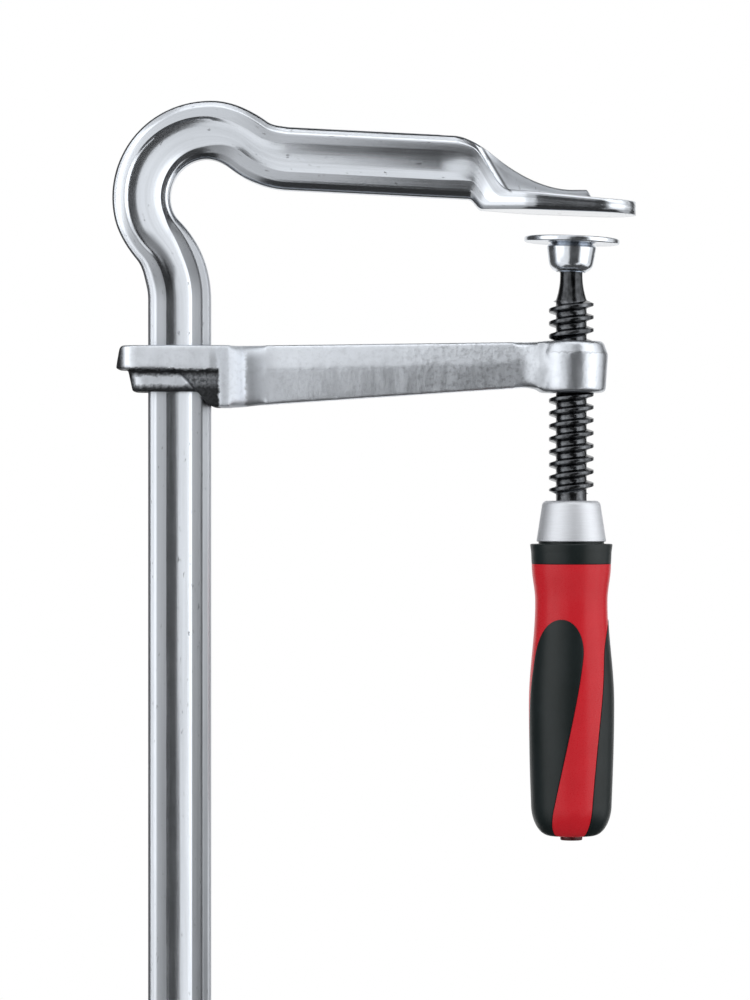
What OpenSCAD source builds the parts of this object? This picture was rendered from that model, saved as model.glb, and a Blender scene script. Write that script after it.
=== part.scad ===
// Screw clamp with a bent, grooved rail, a forged sliding arm, a trapezoidal
// screw with a swivelling pressure plate, and a two-component handle.
// Millimetres, +Z up along the rail. The origin is the point of the fixed
// jaw's ground face that lies on the screw's axis.

/* [Rail] */
// Width of the rail, across the throat
rail_w = 19.5; // [16:0.5:24]
// Thickness of the rail, front to back
rail_t = 9.5; // [8:0.5:13]
// Width of the bevel on each long edge of the rail
bevel_w = 2.6; // [1:0.2:3]
// Depth of that bevel, front to back
bevel_d = 1.9; // [0.8:0.1:2.4]
// Width of the round groove along each broad face
groove_w = 8; // [5:0.5:9]
// Depth of that groove
groove_d = 0.75; // [0.5:0.05:2]
// Reach: rail's inner edge to the screw's axis
reach = 112; // [90:1:150]
// Greatest opening between the two jaw faces
opening = 250; // [160:10:500]
// Rail left over below the stop pin
rail_tail = 8; // [6:1:20]
// Chamfer round the rail's lower end
end_chamfer = 1; // [0.4:0.2:2]

/* [Swan neck] */
// Centreline radius of the main bend
neck_r = 20.9; // [19:0.1:26]
// Height of the main bend's centre above the fixed jaw's face
neck_up = 4.9; // [2:0.1:9]
// How far that centre lies outside the straight rail's inner edge
neck_back = 0.7; // [0:0.1:2]
// How much narrower the bar is round the main bend
neck_narrow = 1.4; // [0:0.1:2.5]
// Centreline radius of the counter bend above the straight rail
heel_r = 27.7; // [18:0.1:32]
// Centreline radius of the counter bend that leads into the jaw
throat_r = 21.5; // [16:0.1:26]
// Jaw bar's centreline, measured square to it above the main bend's centre
jaw_up = 13.2; // [11:0.1:16]
// Slope of the jaw bar towards its tip, degrees
jaw_slope = 2.9; // [1:0.1:4]

/* [Fixed jaw] */
// Length of the ground face from the screw's axis back to its heel
jaw_back = 29.5; // [25:0.5:40]
// Length of the ground face from the screw's axis to its tip
jaw_front = 20; // [17:0.5:26]
// Width of the ground face, front to back
jaw_w = 27; // [22:0.5:34]
// Thickness of the jaw's plate at its tip
jaw_t = 4; // [3:0.1:5.5]
// Radius of the plate's rounded nose, seen from above
jaw_corner = 12; // [6:0.5:14]
// Tilt of the ground face, degrees, tip lower
jaw_tilt = 2.2; // [0:0.1:4]
// Height of the low end of the rib that stiffens the plate
rib_h = 7.3; // [6:0.1:10]
// Half width of that rib's crest
rib_half = 2; // [1.2:0.1:3]
// Length of the rib past the screw's axis
rib_front = 4.5; // [1:0.5:6]

/* [Sliding arm] */
// Boss's upper face below the fixed jaw's face, as drawn
boss_drop = 39.7; // [34:0.1:60]
// Height of the threaded boss
boss_h = 16.1; // [12:0.1:22]
// Radius of the boss at its parting line
boss_r = 11.45; // [9.5:0.1:14]
// Parting line below the boss's upper face
boss_parting = 4.2; // [3:0.1:6]
// Draft of the boss's flank on the radius, over its height
boss_draft = 0.7; // [0.2:0.1:1]
// Edge radius of the boss
boss_edge = 1.4; // [0.6:0.1:2]
// Height of the arm where it leaves the collar
root_h = 19; // [16:0.5:24]
// Height of the arm where it meets the boss
tip_h = 13.8; // [11:0.2:15]
// Half thickness of the arm at the collar
root_half = 7.6; // [6:0.2:9]
// Half thickness of the arm at the boss
tip_half = 6; // [4.5:0.2:7]
// Length over which the arm widens into the boss
boss_flare = 7; // [4:0.5:12]
// How far the arm's top falls from the boss to the collar
arm_fall = 1.6; // [0:0.1:3]
// Height of the collar's upper band
band_h = 7.4; // [6:0.2:10]
// Collar's walls in front of the rail and behind it
collar_wall = 7.45; // [6.5:0.05:9]
// Collar's wall behind the rail
collar_back = 9.8; // [7:0.2:12]
// Radius of the collar's upright corners
collar_corner = 6.5; // [3:0.5:8]
// Height of the narrower tier below the band
tier_h = 6.9; // [4:0.2:9]
// Wall of that tier round the rail
tier_wall = 4.6; // [3.5:0.1:5.5]
// Draft of the tier's wall
tier_draft = 1.6; // [0.5:0.1:1.8]
// Radius of the rounded cheek between collar and arm
cheek_r = 8; // [5:0.5:9]
// Play between the rail and the arm's eye, all round
eye_play = 0.3; // [0.2:0.05:0.5]

/* [Screw] */
// Outer diameter of the thread
thread_d = 14; // [12:0.5:17]
// Pitch of the thread
thread_pitch = 4; // [3:0.5:5]
// Length of the thread
thread_len = 58.5; // [50:0.5:90]
// Radial play between thread and boss
thread_play = 0.06; // [0.02:0.01:0.1]
// Diameter of the neck below the ball
neck_d = 7; // [6:0.1:7.4]
// Diameter of the core where the thread begins and ends
core_d = 9.6; // [8.5:0.1:11]
// Plain neck between the socket cup and the thread
neck_len = 8.6; // [6:0.2:14]
// Diameter of the ball
ball_d = 8.5; // [8:0.1:9]
// Undercut between the thread and the ferrule
undercut = 4; // [2:0.5:8]
// Length of the tang that drives the handle, below the ferrule
tang_len = 52; // [30:1:60]
// Diameter of the tang
tang_d = 10; // [8:0.5:11]
// Width across the tang's two flats
tang_flat = 8; // [6:0.5:9]

/* [Pressure plate] */
// Gap between the two jaw faces on the screw's axis, as drawn
rest_gap = 7.6; // [5:0.1:10]
// Diameter of the pressure disc
disc_d = 29.6; // [24:0.2:36]
// Thickness of the pressure disc
disc_t = 1.7; // [1.2:0.1:2.5]
// Diameter of the rivet that holds disc and cup together
rivet_d = 7; // [5:0.5:8]
// Shoulder between the disc and the cup
shoulder_h = 1.2; // [0.6:0.1:2]
// Outer diameter of the socket cup
cup_d = 15.4; // [13.5:0.1:18]
// Height of the cup's lip below the ring's groove
lip_h = 1.1; // [0.6:0.1:2]
// Radius of the cup's rounded lower edge
cup_edge = 3; // [1:0.1:3.2]
// Room between the ball's seat and the disc
roof = 0.1; // [0.05:0.05:0.5]
// Tilt of the plate as drawn, degrees, tip side lower
plate_tilt = 2.1; // [0:0.1:4]
// Largest tilt of the plate either way from level, degrees
tilt_max = 6; // [4:0.5:8]
// Wire diameter of the ring that keeps the ball in the cup
ring_wire = 0.8; // [0.6:0.1:1]
// Play between that ring and the neck
ring_play = 0.25; // [0.1:0.05:0.3]
// Gap between that ring and the ball
ring_gap = 0.15; // [0.1:0.05:0.25]
// Gap round the ball
ball_play = 0.06; // [0.03:0.01:0.1]

/* [Handle] */
// Height of the metal ferrule
ferrule_h = 12.7; // [8:0.1:18]
// Diameter of the ferrule at its top
ferrule_top_d = 17.8; // [15:0.2:19]
// Diameter of the ferrule at its foot
ferrule_foot_d = 21.7; // [19:0.2:24]
// Edge radius at the ferrule's top
ferrule_edge = 1; // [0.4:0.1:2]
// Height of the step between ferrule and grip collar
step_h = 0.7; // [0.4:0.1:1.5]
// Diameter of that step
step_d = 20.4; // [18:0.2:22]
// Height of the soft grip collar
grip_collar_h = 6.3; // [4:0.1:10]
// Diameter of the soft grip collar
grip_collar_d = 25.7; // [24:0.1:29]
// Diameter of the handle's spigot inside that collar
spigot_d = 17; // [15:0.5:18]
// Length of the handle below the collar
handle_len = 84.4; // [70:0.1:110]
// Handle's diameter below the collar
handle_top_d = 24.7; // [23:0.1:27]
// Handle's diameter at its waist
waist_d = 22.5; // [21:0.1:25]
// Waist below the collar
waist_at = 11.7; // [8:0.1:15]
// Handle's largest diameter
belly_d = 26.4; // [24:0.1:30]
// Largest diameter below the collar
belly_at = 43.5; // [35:0.5:50]
// Handle's diameter where its rounded end begins
tail_d = 24.8; // [20:0.1:26]
// Length of the rounded end
end_len = 10; // [6:0.5:14]
// Diameter of the flat at the handle's end
end_flat_d = 13; // [9:0.5:15]
// Diameter of the moulded nub in that flat
nub_d = 6.9; // [4:0.1:8]
// Height of the nub
nub_h = 1.4; // [0.8:0.1:3]

/* [Soft grip panels] */
// Panel's upper tip below the collar
panel_from = 17; // [14:0.5:26]
// Direction of the first panel's tip, degrees from the front
panel_turn = -18; // [-60:1:60]
// Twist of a panel from its tip to the handle's end, degrees
panel_twist = 48; // [20:1:70]
// Widest half angle of a panel, degrees
panel_half = 41; // [30:1:48]
// Half angle of a panel at the handle's end, degrees
panel_end_half = 27; // [16:1:32]
// Length of the panel's rounded tip
panel_tip = 12; // [8:0.5:16]
// Depth of the panel's pocket
panel_depth = 2; // [1.2:0.1:2.4]
// How far a panel stands proud of the handle
panel_proud = 0.2; // [0:0.05:0.4]

/* [Stop pin] */
// Outer diameter of the slotted spring pin
pin_d = 4; // [3:0.1:5]
// Bore of that pin
pin_bore = 2.2; // [1.5:0.1:2.6]
// Width of the pin's slot
pin_slot = 0.8; // [0.5:0.1:1]
// How far the pin stands out of the rail on each side
pin_out = 3; // [2:0.2:4]
// Gap between the arm and the pin at the lowest position
stop_gap = 0.3; // [0.2:0.1:1]

/* [Motion] */
// How far the screw is wound back from the drawn position
feed_back = 20; // [12:0.5:20.5]

/* [Hidden] */
$fn = 64;

// Fit between pieces that are pressed or moulded together
fit = 0.04;
// Cuts run this far past the faces they open
past = 1;
// Thickness of the slices that a hull spans
slice = 0.01;
// Number of soft panels round the handle
panel_count = 3;

// Places along the screw, from the jaw face downwards
disc_up = ball_d / 2 + ball_play + roof + disc_t;
ball_z = -rest_gap - disc_up;
// The ring lies under the ball, in a groove that leaves it room when the plate tilts
tilt_room = 0.12;
ring_r = neck_d / 2 + ring_play + ring_wire / 2;
ring_out = ring_r + ring_wire / 2;
ring_drop = sqrt(pow(ball_d / 2 + ring_gap + ring_wire / 2, 2) - pow(ring_r, 2));
ring_room = ring_wire / 2 + ring_out * sin(tilt_max) + tilt_room;
ring_room_r = ring_out + ring_drop * sin(tilt_max) + tilt_room;
mouth_depth = ring_drop + ring_room + lip_h;
mouth_r = neck_d / 2 + mouth_depth * sin(tilt_max) + tilt_room;
cup_low_z = ball_z - mouth_depth;
thread_top_z = cup_low_z - neck_len;
thread_low_z = thread_top_z - thread_len;
boss_top_z = -boss_drop;
boss_low_z = boss_top_z - boss_h;
ferrule_top_z = thread_low_z - undercut;
step_z = ferrule_top_z - ferrule_h;
collar_grip_z = step_z - step_h;
handle_z = collar_grip_z - grip_collar_h;
handle_end_z = handle_z - handle_len;

// Places across the rail and along the arm
rail_x = -reach - rail_w / 2;
band_top_z = boss_top_z - arm_fall;
band_low_z = band_top_z - band_h;
tier_low_z = band_low_z - tier_h;
root_low_z = band_top_z - root_h;

// The arm slides from the drawn position down to the stop pin
arm_travel = opening - rest_gap - feed_back;
pin_z = tier_low_z - arm_travel - stop_gap - pin_d / 2;
rail_low_z = pin_z - pin_d / 2 - rail_tail;

echo(arm_travel = arm_travel, ball_z = ball_z, pin_z = pin_z, rail_low_z = rail_low_z);

function mix(a, b, t) = a + (b - a) * t;
function clamped(t) = min(1, max(0, t));
// Smooth step from 0 to 1 that starts and ends level
function ease(t) = (1 - cos(180 * clamped(t))) / 2;
function arc(c, r, from, to, steps) =
    [for (i = [0 : steps]) let (a = mix(from, to, i / steps)) c + r * [cos(a), sin(a)]];

// Rail section: u runs from the outer to the inner edge, v from back to front.
// Half of the outline, from the inner edge round to the outer edge.
groove_steps = 6;
groove_r = (pow(groove_w / 2, 2) + pow(groove_d, 2)) / (2 * groove_d);
groove_half_angle = asin(groove_w / 2 / groove_r);
groove_mid = rail_t / 2 - groove_d + groove_r;
half_section = concat(
    [[rail_w / 2, rail_t / 2 - bevel_d], [rail_w / 2 - bevel_w, rail_t / 2]],
    arc([0, groove_mid], groove_r, -90 + groove_half_angle, -90 - groove_half_angle, groove_steps),
    [[-rail_w / 2 + bevel_w, rail_t / 2], [-rail_w / 2, rail_t / 2 - bevel_d]]);
half_count = len(half_section);
// Whole ring of a half outline: front half, then its mirror image backwards
function whole(half) = concat(
    half, [for (i = [half_count - 1 : -1 : 0]) [half[i][0], -half[i][1]]]);
rail_section = whole(half_section);

// Centres and angles of the three bends, tangent to one another
neck_c = [-reach - neck_back, neck_up];
heel_x = rail_x - heel_r;
heel_c = [heel_x, neck_up - sqrt(pow(neck_r + heel_r, 2) - pow(neck_c[0] - heel_x, 2))];
heel_end = atan2(neck_c[1] - heel_c[1], neck_c[0] - heel_c[0]);
jaw_along = [cos(jaw_slope), -sin(jaw_slope)];
jaw_normal = [sin(jaw_slope), cos(jaw_slope)];
throat_d = sqrt(pow(neck_r + throat_r, 2) - pow(jaw_up + throat_r, 2));
throat_c = neck_c + throat_d * jaw_along + (jaw_up + throat_r) * jaw_normal;
neck_end = atan2(throat_c[1] - neck_c[1], throat_c[0] - neck_c[0]);
// The jaw bar's own centreline: a point on it and its height at any x
jaw_point = throat_c - throat_r * jaw_normal;
function jaw_line(x) = jaw_point[1] + (x - jaw_point[0]) * jaw_along[1] / jaw_along[0];

// Rings along the rail. A ring stands at c and its u axis points to angle a.
function ring(c, a, section) =
    [for (p = section) [c[0] + p[0] * cos(a), p[1], c[1] + p[0] * sin(a)]];
function narrowed(by) = [for (p = rail_section) [p[0] * (1 - by / rail_w), p[1]]];
bend_step = 5;
// Angle at each end of a bend in which the bar narrows and widens again
narrow_lead = 32;
function bend(c, r, from, to, turn, narrow) =
    let (sweep = abs(to - from), n = ceil(sweep / bend_step))
    [for (i = [0 : n]) let (b = mix(from, to, i / n), lead = sweep * min(i, n - i) / n)
        ring(c + r * [cos(b), sin(b)], b + turn, narrowed(narrow * ease(lead / narrow_lead)))];
// The last ring of one bend is the first of the next, so it is left out there
function rest_of(list) = [for (i = [1 : len(list) - 1]) list[i]];
end_section = [for (p = rail_section) [p[0] * (1 - 2 * end_chamfer / rail_w),
                                       p[1] * (1 - 2 * end_chamfer / rail_t)]];
bar_rings = concat(
    [ring([rail_x, rail_low_z], 0, end_section)],
    [ring([rail_x, rail_low_z + end_chamfer], 0, rail_section)],
    bend(heel_c, heel_r, 0, heel_end, 0, 0),
    rest_of(bend(neck_c, neck_r, heel_end + 180, neck_end, -180, neck_narrow)),
    rest_of(bend(throat_c, throat_r, neck_end + 180, 270 - jaw_slope, -360, 0)));

// Fixed jaw: the bar's section is forged out into a plate with a central rib.
// Ground face, plate thickness and half width at a place along the jaw
plate_grow = 0.06;
grind = 0.6;
plate_edge = 0.7;
flare_lead = 2.5;
flare_len = 14;
flare_from = -jaw_back - flare_lead;
flare_to = -jaw_back + flare_len;
function face_z(x) = -x * tan(jaw_tilt);
function plate_top(x) = face_z(x) + jaw_t + plate_grow * max(0, jaw_front / 2 - x);
nose_flat = 3;
nose_r = min(jaw_corner, (jaw_w - nose_flat) / 2);
function corner_in(x) =
    let (k = clamped((x - jaw_front + nose_r) / nose_r))
    nose_r * (1 - sqrt(1 - k * k));
function plate_half(x) =
    mix(rail_t / 2, jaw_w / 2, ease((x - flare_from) / (flare_to - flare_from))) - corner_in(x);
// Crest of the rib: leaves the bar's top in a round shoulder, falls in a hollow
// curve, runs level, then drops to the plate
rib_power = 2.3;
rib_drop = 2.5;
rib_lead = 1;
rib_from = -jaw_back - rib_lead;
shoulder_round = 6;
shoulder_from = rib_from - shoulder_round;
function bar_top(x) = jaw_line(x) + rail_w / 2 / jaw_along[0];
function rib_fall(x) = pow(1 - min(1, (x - rib_from) / -rib_from), rib_power);
function rib_line(x) =
    let (top = bar_top(x), hollow = mix(rib_h, bar_top(rib_from), rib_fall(x)),
         near = max(0, 1 - abs(top - hollow) / shoulder_round))
    min(top, hollow) - shoulder_round / 4 * near * near;
function rib_top(x) =
    mix(max(rib_line(x), plate_top(x)), plate_top(x), ease((x - rib_front) / rib_drop));
// Height and depth of point j of the half outline, from the ground face to the crest
function plate_point(x, j) =
    let (side = plate_half(x), low = face_z(x), high = plate_top(x),
         tip = corner_in(x) / nose_r, last = half_count - 1)
    j == 0 ? [low - grind, side - plate_edge] :
    j == last ? [rib_top(x) - tip * plate_edge, min(rib_half, side / 2)] :
    j == last - 1 ? [high - tip * plate_edge, side - plate_edge] :
    [mix(low + plate_edge, high - plate_edge * (1 + tip), (j - 1) / (last - 3)), side];
// The bar's upper half sinks with the crest
sink_power = 1.6;
function bar_point(x, j) =
    let (u = half_section[j][0], sunk = (bar_top(x) - rib_top(x)) * pow(0.5 - u / rail_w, sink_power))
    [jaw_line(x) - u / jaw_along[0] - sunk, half_section[j][1]];
// Lower points are forged down first, the upper edge follows further along
heel_run = 1.5;
shoulder_run = 10.5;
shoulder_lead = 1.1;
function forged(x, j) =
    let (k = j / (half_count - 1),
         from = mix(flare_from, rib_from, k),
         to = -jaw_back + mix(heel_run, shoulder_run, min(1, shoulder_lead * k)))
    ease((x - from) / (to - from));
function jaw_half(x) = [for (j = [0 : half_count - 1])
    let (p = bar_point(x, j), q = plate_point(x, j), m = forged(x, j))
    [mix(p[0], q[0], m), mix(p[1], q[1], m)]];
function jaw_ring(x) = [for (p = whole(jaw_half(x))) [x, p[1], p[0]]];
shoulder_steps = 3;
flare_steps = 14;
plate_steps = 8;
drop_steps = 3;
corner_steps = 8;
jaw_x = concat(
    [for (i = [0 : shoulder_steps]) mix(shoulder_from, flare_from, i / shoulder_steps)],
    [for (i = [1 : flare_steps]) mix(flare_from, flare_to, i / flare_steps)],
    [for (i = [1 : plate_steps]) mix(flare_to, rib_front, i / plate_steps)],
    [for (i = [1 : drop_steps]) rib_front + rib_drop * i / drop_steps],
    [for (i = [0 : corner_steps])
        jaw_front - nose_r * (1 - sin(90 * i / corner_steps))]);
least_step = 0.05;
jaw_rings = [for (i = [0 : len(jaw_x) - 1])
    if (i == 0 || jaw_x[i] > jaw_x[i - 1] + least_step) jaw_ring(jaw_x[i])];

// Solid skin over a list of rings that all have the same number of points
module skin(rings) {
    n = len(rings[0]);
    last = len(rings) - 1;
    points = [for (r = rings) each r];
    sides = [for (i = [0 : last - 1], j = [0 : n - 1])
        let (a = i * n + j, b = i * n + (j + 1) % n)
        each [[a, a + n, b + n], [a, b + n, b]]];
    caps = [[for (j = [0 : n - 1]) j], [for (j = [n - 1 : -1 : 0]) last * n + j]];
    polyhedron(points, concat(sides, caps));
}

module rail() {
    color("gainsboro")
    difference() {
        skin(concat(bar_rings, jaw_rings));
        // The jaw's face is ground flat
        rotate([0, jaw_tilt, 0])
            translate([-jaw_back * 1.5, -jaw_w, -2 * jaw_t])
                cube([2.5 * jaw_back + jaw_front, 2 * jaw_w, 2 * jaw_t]);
        translate([rail_x, 0, pin_z])
            rotate([90, 0, 0])
                cylinder(d = pin_d + 2 * fit, h = rail_t + 2 * past, center = true);
    }
}

module stop_pin() {
    pin_len = rail_t + 2 * pin_out;
    color("dimgray")
    translate([rail_x, 0, pin_z])
        rotate([90, 0, 0])
            difference() {
                cylinder(d = pin_d, h = pin_len, center = true);
                cylinder(d = pin_bore, h = pin_len + 2 * past, center = true);
                translate([0, -pin_d / 2, 0])
                    cube([pin_slot, pin_d, pin_len + 2 * past], center = true);
            }
}

// Sliding arm: places along the collar
eye_w = rail_w + 2 * eye_play;
eye_t = rail_t + 2 * eye_play;
collar_half = eye_t / 2 + collar_wall;
collar_left = rail_x - rail_w / 2 - collar_back;
eye_wall = 3;
cheek_x = -reach + eye_wall;
arm_root_sunk = 5.5;
arm_root_x = cheek_x + cheek_r - arm_root_sunk;
// Front wall's lower edge leaves the band in an arc and runs down at a slant
sweep_r = 9;
sweep_angle = 52;
sweep_foot = 2;
sweep_low = [-reach - sweep_foot / 2, root_low_z + sweep_foot / 2];
sweep_turn = sweep_r * [sin(sweep_angle), cos(sweep_angle) - 1];
sweep_run = (band_low_z + sweep_turn[1] - sweep_low[1]) / tan(sweep_angle);
sweep_start = sweep_low[0] - sweep_run - sweep_turn[0];
web_inset = 0.6;
band_lean = 1.2;
band_edge = 1.5;

// Collar seen from above, front half and back half alike
function collar_half_plan(half) = concat(
    arc([collar_left + collar_corner, half - collar_corner], collar_corner, 180, 90, 8),
    arc([cheek_x, half - cheek_r], cheek_r, 90, 0, 10));
module collar_plan(half) {
    side = collar_half_plan(half);
    last = len(side) - 1;
    polygon(concat(side, [for (i = [last : -1 : 0]) [side[i][0], -side[i][1]]]));
}

// Block between two depths whose outline is drawn in the front view
module front_cut(points) {
    rotate([90, 0, 0])
        linear_extrude(height = 4 * collar_half, center = true) polygon(points);
}

module collar_band() {
    right = cheek_x + cheek_r;
    intersection() {
        translate([0, 0, root_low_z - past])
            linear_extrude(height = root_h + 2 * past) collar_plan(collar_half);
        front_cut(concat(
            [[collar_left, band_low_z]],
            arc([collar_left + band_lean + band_edge, band_top_z - band_edge], band_edge, 170, 90, 4),
            [[right, band_top_z], [right, root_low_z], [cheek_x, root_low_z],
             [cheek_x - past, band_low_z]]));
    }
}

module collar_web() {
    intersection() {
        translate([0, 0, root_low_z - past])
            linear_extrude(height = root_h) collar_plan(collar_half - web_inset);
        front_cut(concat(
            arc([sweep_start, band_low_z - sweep_r], sweep_r, 90, 90 - sweep_angle, 6),
            [sweep_low, [sweep_low[0] + sweep_foot, root_low_z], [cheek_x + past, root_low_z],
             [cheek_x + past, band_low_z + past], [sweep_start, band_low_z + past]]));
    }
}

tier_corner = 3.5;
tier_end_r = 1;
module tier_slice(wall, z) {
    left = rail_x - rail_w / 2 - wall;
    half = rail_t / 2 + wall;
    translate([0, 0, z])
        linear_extrude(height = slice)
            for (y = [-1, 1]) {
                translate([left + tier_corner, y * (half - tier_corner)])
                    circle(r = tier_corner, $fn = 32);
                translate([-reach, y * (half - tier_end_r)])
                    circle(r = tier_end_r, $fn = 16);
            }
}

module collar_tier() {
    hull() {
        tier_slice(tier_wall + tier_draft, band_low_z + past);
        tier_slice(tier_wall, tier_low_z);
    }
}

// Six-sided arm section with drafted flanks above and below the parting line
flank_draft = 0.22;
module arm_slice(x, top, height, half, parting) {
    edge = half * (1 - flank_draft);
    translate([x, 0, 0])
        rotate([90, 0, 90])
            linear_extrude(height = slice)
                polygon([[-edge, top - height], [edge, top - height], [half, parting],
                         [edge, top], [-edge, top], [-half, parting]]);
}

module arm_beam() {
    step = 0.3;
    tip_x = -(boss_r + thread_d / 2) / 2;
    tip_top = boss_top_z - step;
    flare_end = -0.6 * boss_r;
    flare_half = 0.77 * boss_r;
    flare_h = boss_h - 3 * step;
    // Place along the arm's taper where it begins to widen
    t = (flare_end - boss_flare - arm_root_x) / (tip_x - arm_root_x);
    hull() {
        arm_slice(arm_root_x, band_top_z, root_h, root_half, band_low_z - step);
        arm_slice(tip_x, tip_top, tip_h, tip_half, tip_top - tip_h / 2);
    }
    hull() {
        arm_slice(flare_end - boss_flare, mix(band_top_z, tip_top, t), mix(root_h, tip_h, t),
                  mix(root_half, tip_half, t), mix(band_low_z - step, tip_top - tip_h / 2, t));
        arm_slice(flare_end, tip_top, flare_h, flare_half, tip_top - flare_h / 2);
    }
}

module boss() {
    parting_z = boss_top_z - boss_parting;
    foot_r = boss_r - boss_draft;
    upper_draft = 1.15;
    shoulder_r = boss_r - upper_draft;
    rotate_extrude()
        polygon(concat(
            [[0, boss_low_z]],
            arc([foot_r - boss_edge, boss_low_z + boss_edge], boss_edge, -90, 0, 5),
            [[boss_r, parting_z]],
            arc([shoulder_r - boss_edge, boss_top_z - boss_edge], boss_edge, 20, 90, 4),
            [[0, boss_top_z]]));
}

module sliding_arm() {
    color("lightgray")
    difference() {
        union() {
            collar_band();
            collar_web();
            collar_tier();
            arm_beam();
            boss();
        }
        translate([rail_x - eye_w / 2, -eye_t / 2, root_low_z - past])
            cube([eye_w, eye_t, root_h + 2 * past]);
        translate([0, 0, boss_low_z - past])
            cylinder(d = thread_d + 2 * thread_play, h = boss_h + 2 * past);
    }
}

// Screw: ball, flared neck, thread at its outer diameter, undercut and tang
module spindle() {
    ball_r = ball_d / 2;
    slim_r = neck_d / 2;
    neck_meet = ball_z - sqrt(ball_r * ball_r - slim_r * slim_r);
    core_r = core_d / 2;
    run_out = thread_pitch / 4;
    plain = 1;
    flare_steps = 6;
    flare = [for (i = [0 : flare_steps]) let (t = i / flare_steps)
        [mix(slim_r, core_r, t * t), mix(cup_low_z - plain, thread_top_z, t)]];
    tang_z = step_z - tang_len;
    tang_edge = 1;
    color("dimgray")
    difference() {
        rotate_extrude()
            polygon(concat(
                arc([0, ball_z], ball_r, 90, asin((neck_meet - ball_z) / ball_r), 14),
                flare,
                [[thread_d / 2, thread_top_z - run_out],
                 [thread_d / 2, thread_low_z + run_out],
                 [core_r, thread_low_z],
                 [core_r, ferrule_top_z],
                 [tang_d / 2, ferrule_top_z],
                 [tang_d / 2, tang_z + tang_edge],
                 [tang_d / 2 - tang_edge, tang_z],
                 [0, tang_z]]));
        // Two flats on the tang take the handle's turning force
        for (s = [-1, 1])
            translate([s * (tang_flat / 2 + tang_d / 2), 0, (tang_z + step_z) / 2 - past])
                cube([tang_d, 2 * tang_d, step_z - tang_z + 2 * past], center = true);
    }
}

module retaining_ring() {
    color("dimgray")
    translate([0, 0, ball_z - ring_drop])
        rotate_extrude()
            translate([ring_r, 0]) circle(d = ring_wire, $fn = 32);
}

// Pieces of the pressure plate are drawn about the ball's centre, then tilted
module on_ball() {
    translate([0, 0, ball_z])
        rotate([0, plate_tilt, 0])
            children();
}

module socket_cup() {
    seat_r = ball_d / 2 + ball_play;
    top = disc_up - disc_t;
    brim = top - shoulder_h;
    low = -mouth_depth;
    outer = cup_d / 2;
    taper = 0.5;
    brim_edge = 0.4;
    rivet_dip = 0.3;
    color("silver")
    on_ball()
        difference() {
            rotate_extrude()
                polygon(concat(
                    [[0, low]],
                    arc([outer - taper - cup_edge, low + cup_edge], cup_edge, -90, 0, 6),
                    [[outer, brim - brim_edge], [outer - brim_edge, brim],
                     [outer - shoulder_h, top], [rivet_d / 2, top],
                     [rivet_d / 2, disc_up - rivet_dip], [0, disc_up - rivet_dip]]));
            sphere(r = seat_r);
            translate([0, 0, -ring_drop])
                cylinder(r = seat_r, h = ring_drop);
            translate([0, 0, -ring_drop - ring_room])
                cylinder(r = ring_room_r, h = 2 * ring_room);
            translate([0, 0, low - past])
                cylinder(r = mouth_r, h = past - low - ring_drop);
        }
}

module pressure_disc() {
    edge = 0.35;
    color("gainsboro")
    on_ball()
        rotate_extrude()
            polygon([[rivet_d / 2 + fit, disc_up - disc_t], [disc_d / 2 - edge, disc_up - disc_t],
                     [disc_d / 2, disc_up - disc_t + edge], [disc_d / 2, disc_up - edge],
                     [disc_d / 2 - edge, disc_up], [rivet_d / 2 + fit, disc_up]]);
}

module ferrule() {
    bore = tang_d / 2 + fit;
    top_r = ferrule_top_d / 2;
    lean = atan((ferrule_foot_d - ferrule_top_d) / 2 / ferrule_h);
    color("silver")
    rotate_extrude()
        polygon(concat(
            [[bore, step_z], [ferrule_foot_d / 2, step_z]],
            arc([top_r - ferrule_edge, ferrule_top_z - ferrule_edge], ferrule_edge, lean, 90, 5),
            [[bore, ferrule_top_z]]));
}

module grip_collar() {
    bore = spigot_d / 2 + fit;
    outer = grip_collar_d / 2;
    lip = 0.5;
    bead_h = 2;
    bead_rise = 0.2;
    color("#2b3030")
    rotate_extrude()
        polygon([[bore, handle_z], [outer - lip, handle_z],
                 [outer - bead_rise, handle_z + lip],
                 [outer - bead_rise, collar_grip_z - bead_h - bead_rise],
                 [outer, collar_grip_z - bead_h], [outer, collar_grip_z - lip],
                 [outer - lip, collar_grip_z], [step_d / 2, collar_grip_z],
                 [step_d / 2, step_z], [bore, step_z]]);
}

// Handle's radius at a depth s below the grip collar
tail_at = handle_len - end_len;
function handle_r(s) =
    s < waist_at ? mix(handle_top_d, waist_d, ease(s / waist_at)) / 2 :
    s < belly_at ? mix(waist_d, belly_d, ease((s - waist_at) / (belly_at - waist_at))) / 2 :
    s < tail_at ? mix(belly_d, tail_d, 1 - cos(90 * (s - belly_at) / (tail_at - belly_at))) / 2 :
    mix(end_flat_d, tail_d, sqrt(1 - pow(clamped((s - tail_at) / end_len), 2))) / 2;
body_steps = 22;
end_steps = 7;
// Depths at which the handle's outline is drawn, closer together round its end
function handle_depths(from) = concat(
    [for (i = [0 : body_steps]) mix(from, tail_at, i / body_steps)],
    [for (i = [1 : end_steps]) tail_at + end_len * sin(90 * i / end_steps)]);

// Skin of the handle that the soft panels take up, from a depth to the end
module panel_shell(from, proud, depth) {
    outline = handle_depths(from);
    inner = [for (s = outline) if (s < handle_len - depth) s];
    last = len(inner) - 1;
    rotate_extrude()
        polygon(concat(
            [for (s = outline) [handle_r(s) + proud, handle_z - s]],
            [[end_flat_d / 2, handle_end_z - proud],
             [end_flat_d / 2, handle_end_z + depth]],
            [for (i = [last : -1 : 0])
                if (handle_r(inner[i]) - depth > end_flat_d / 2)
                    [handle_r(inner[i]) - depth, handle_z - inner[i]]]));
}

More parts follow.
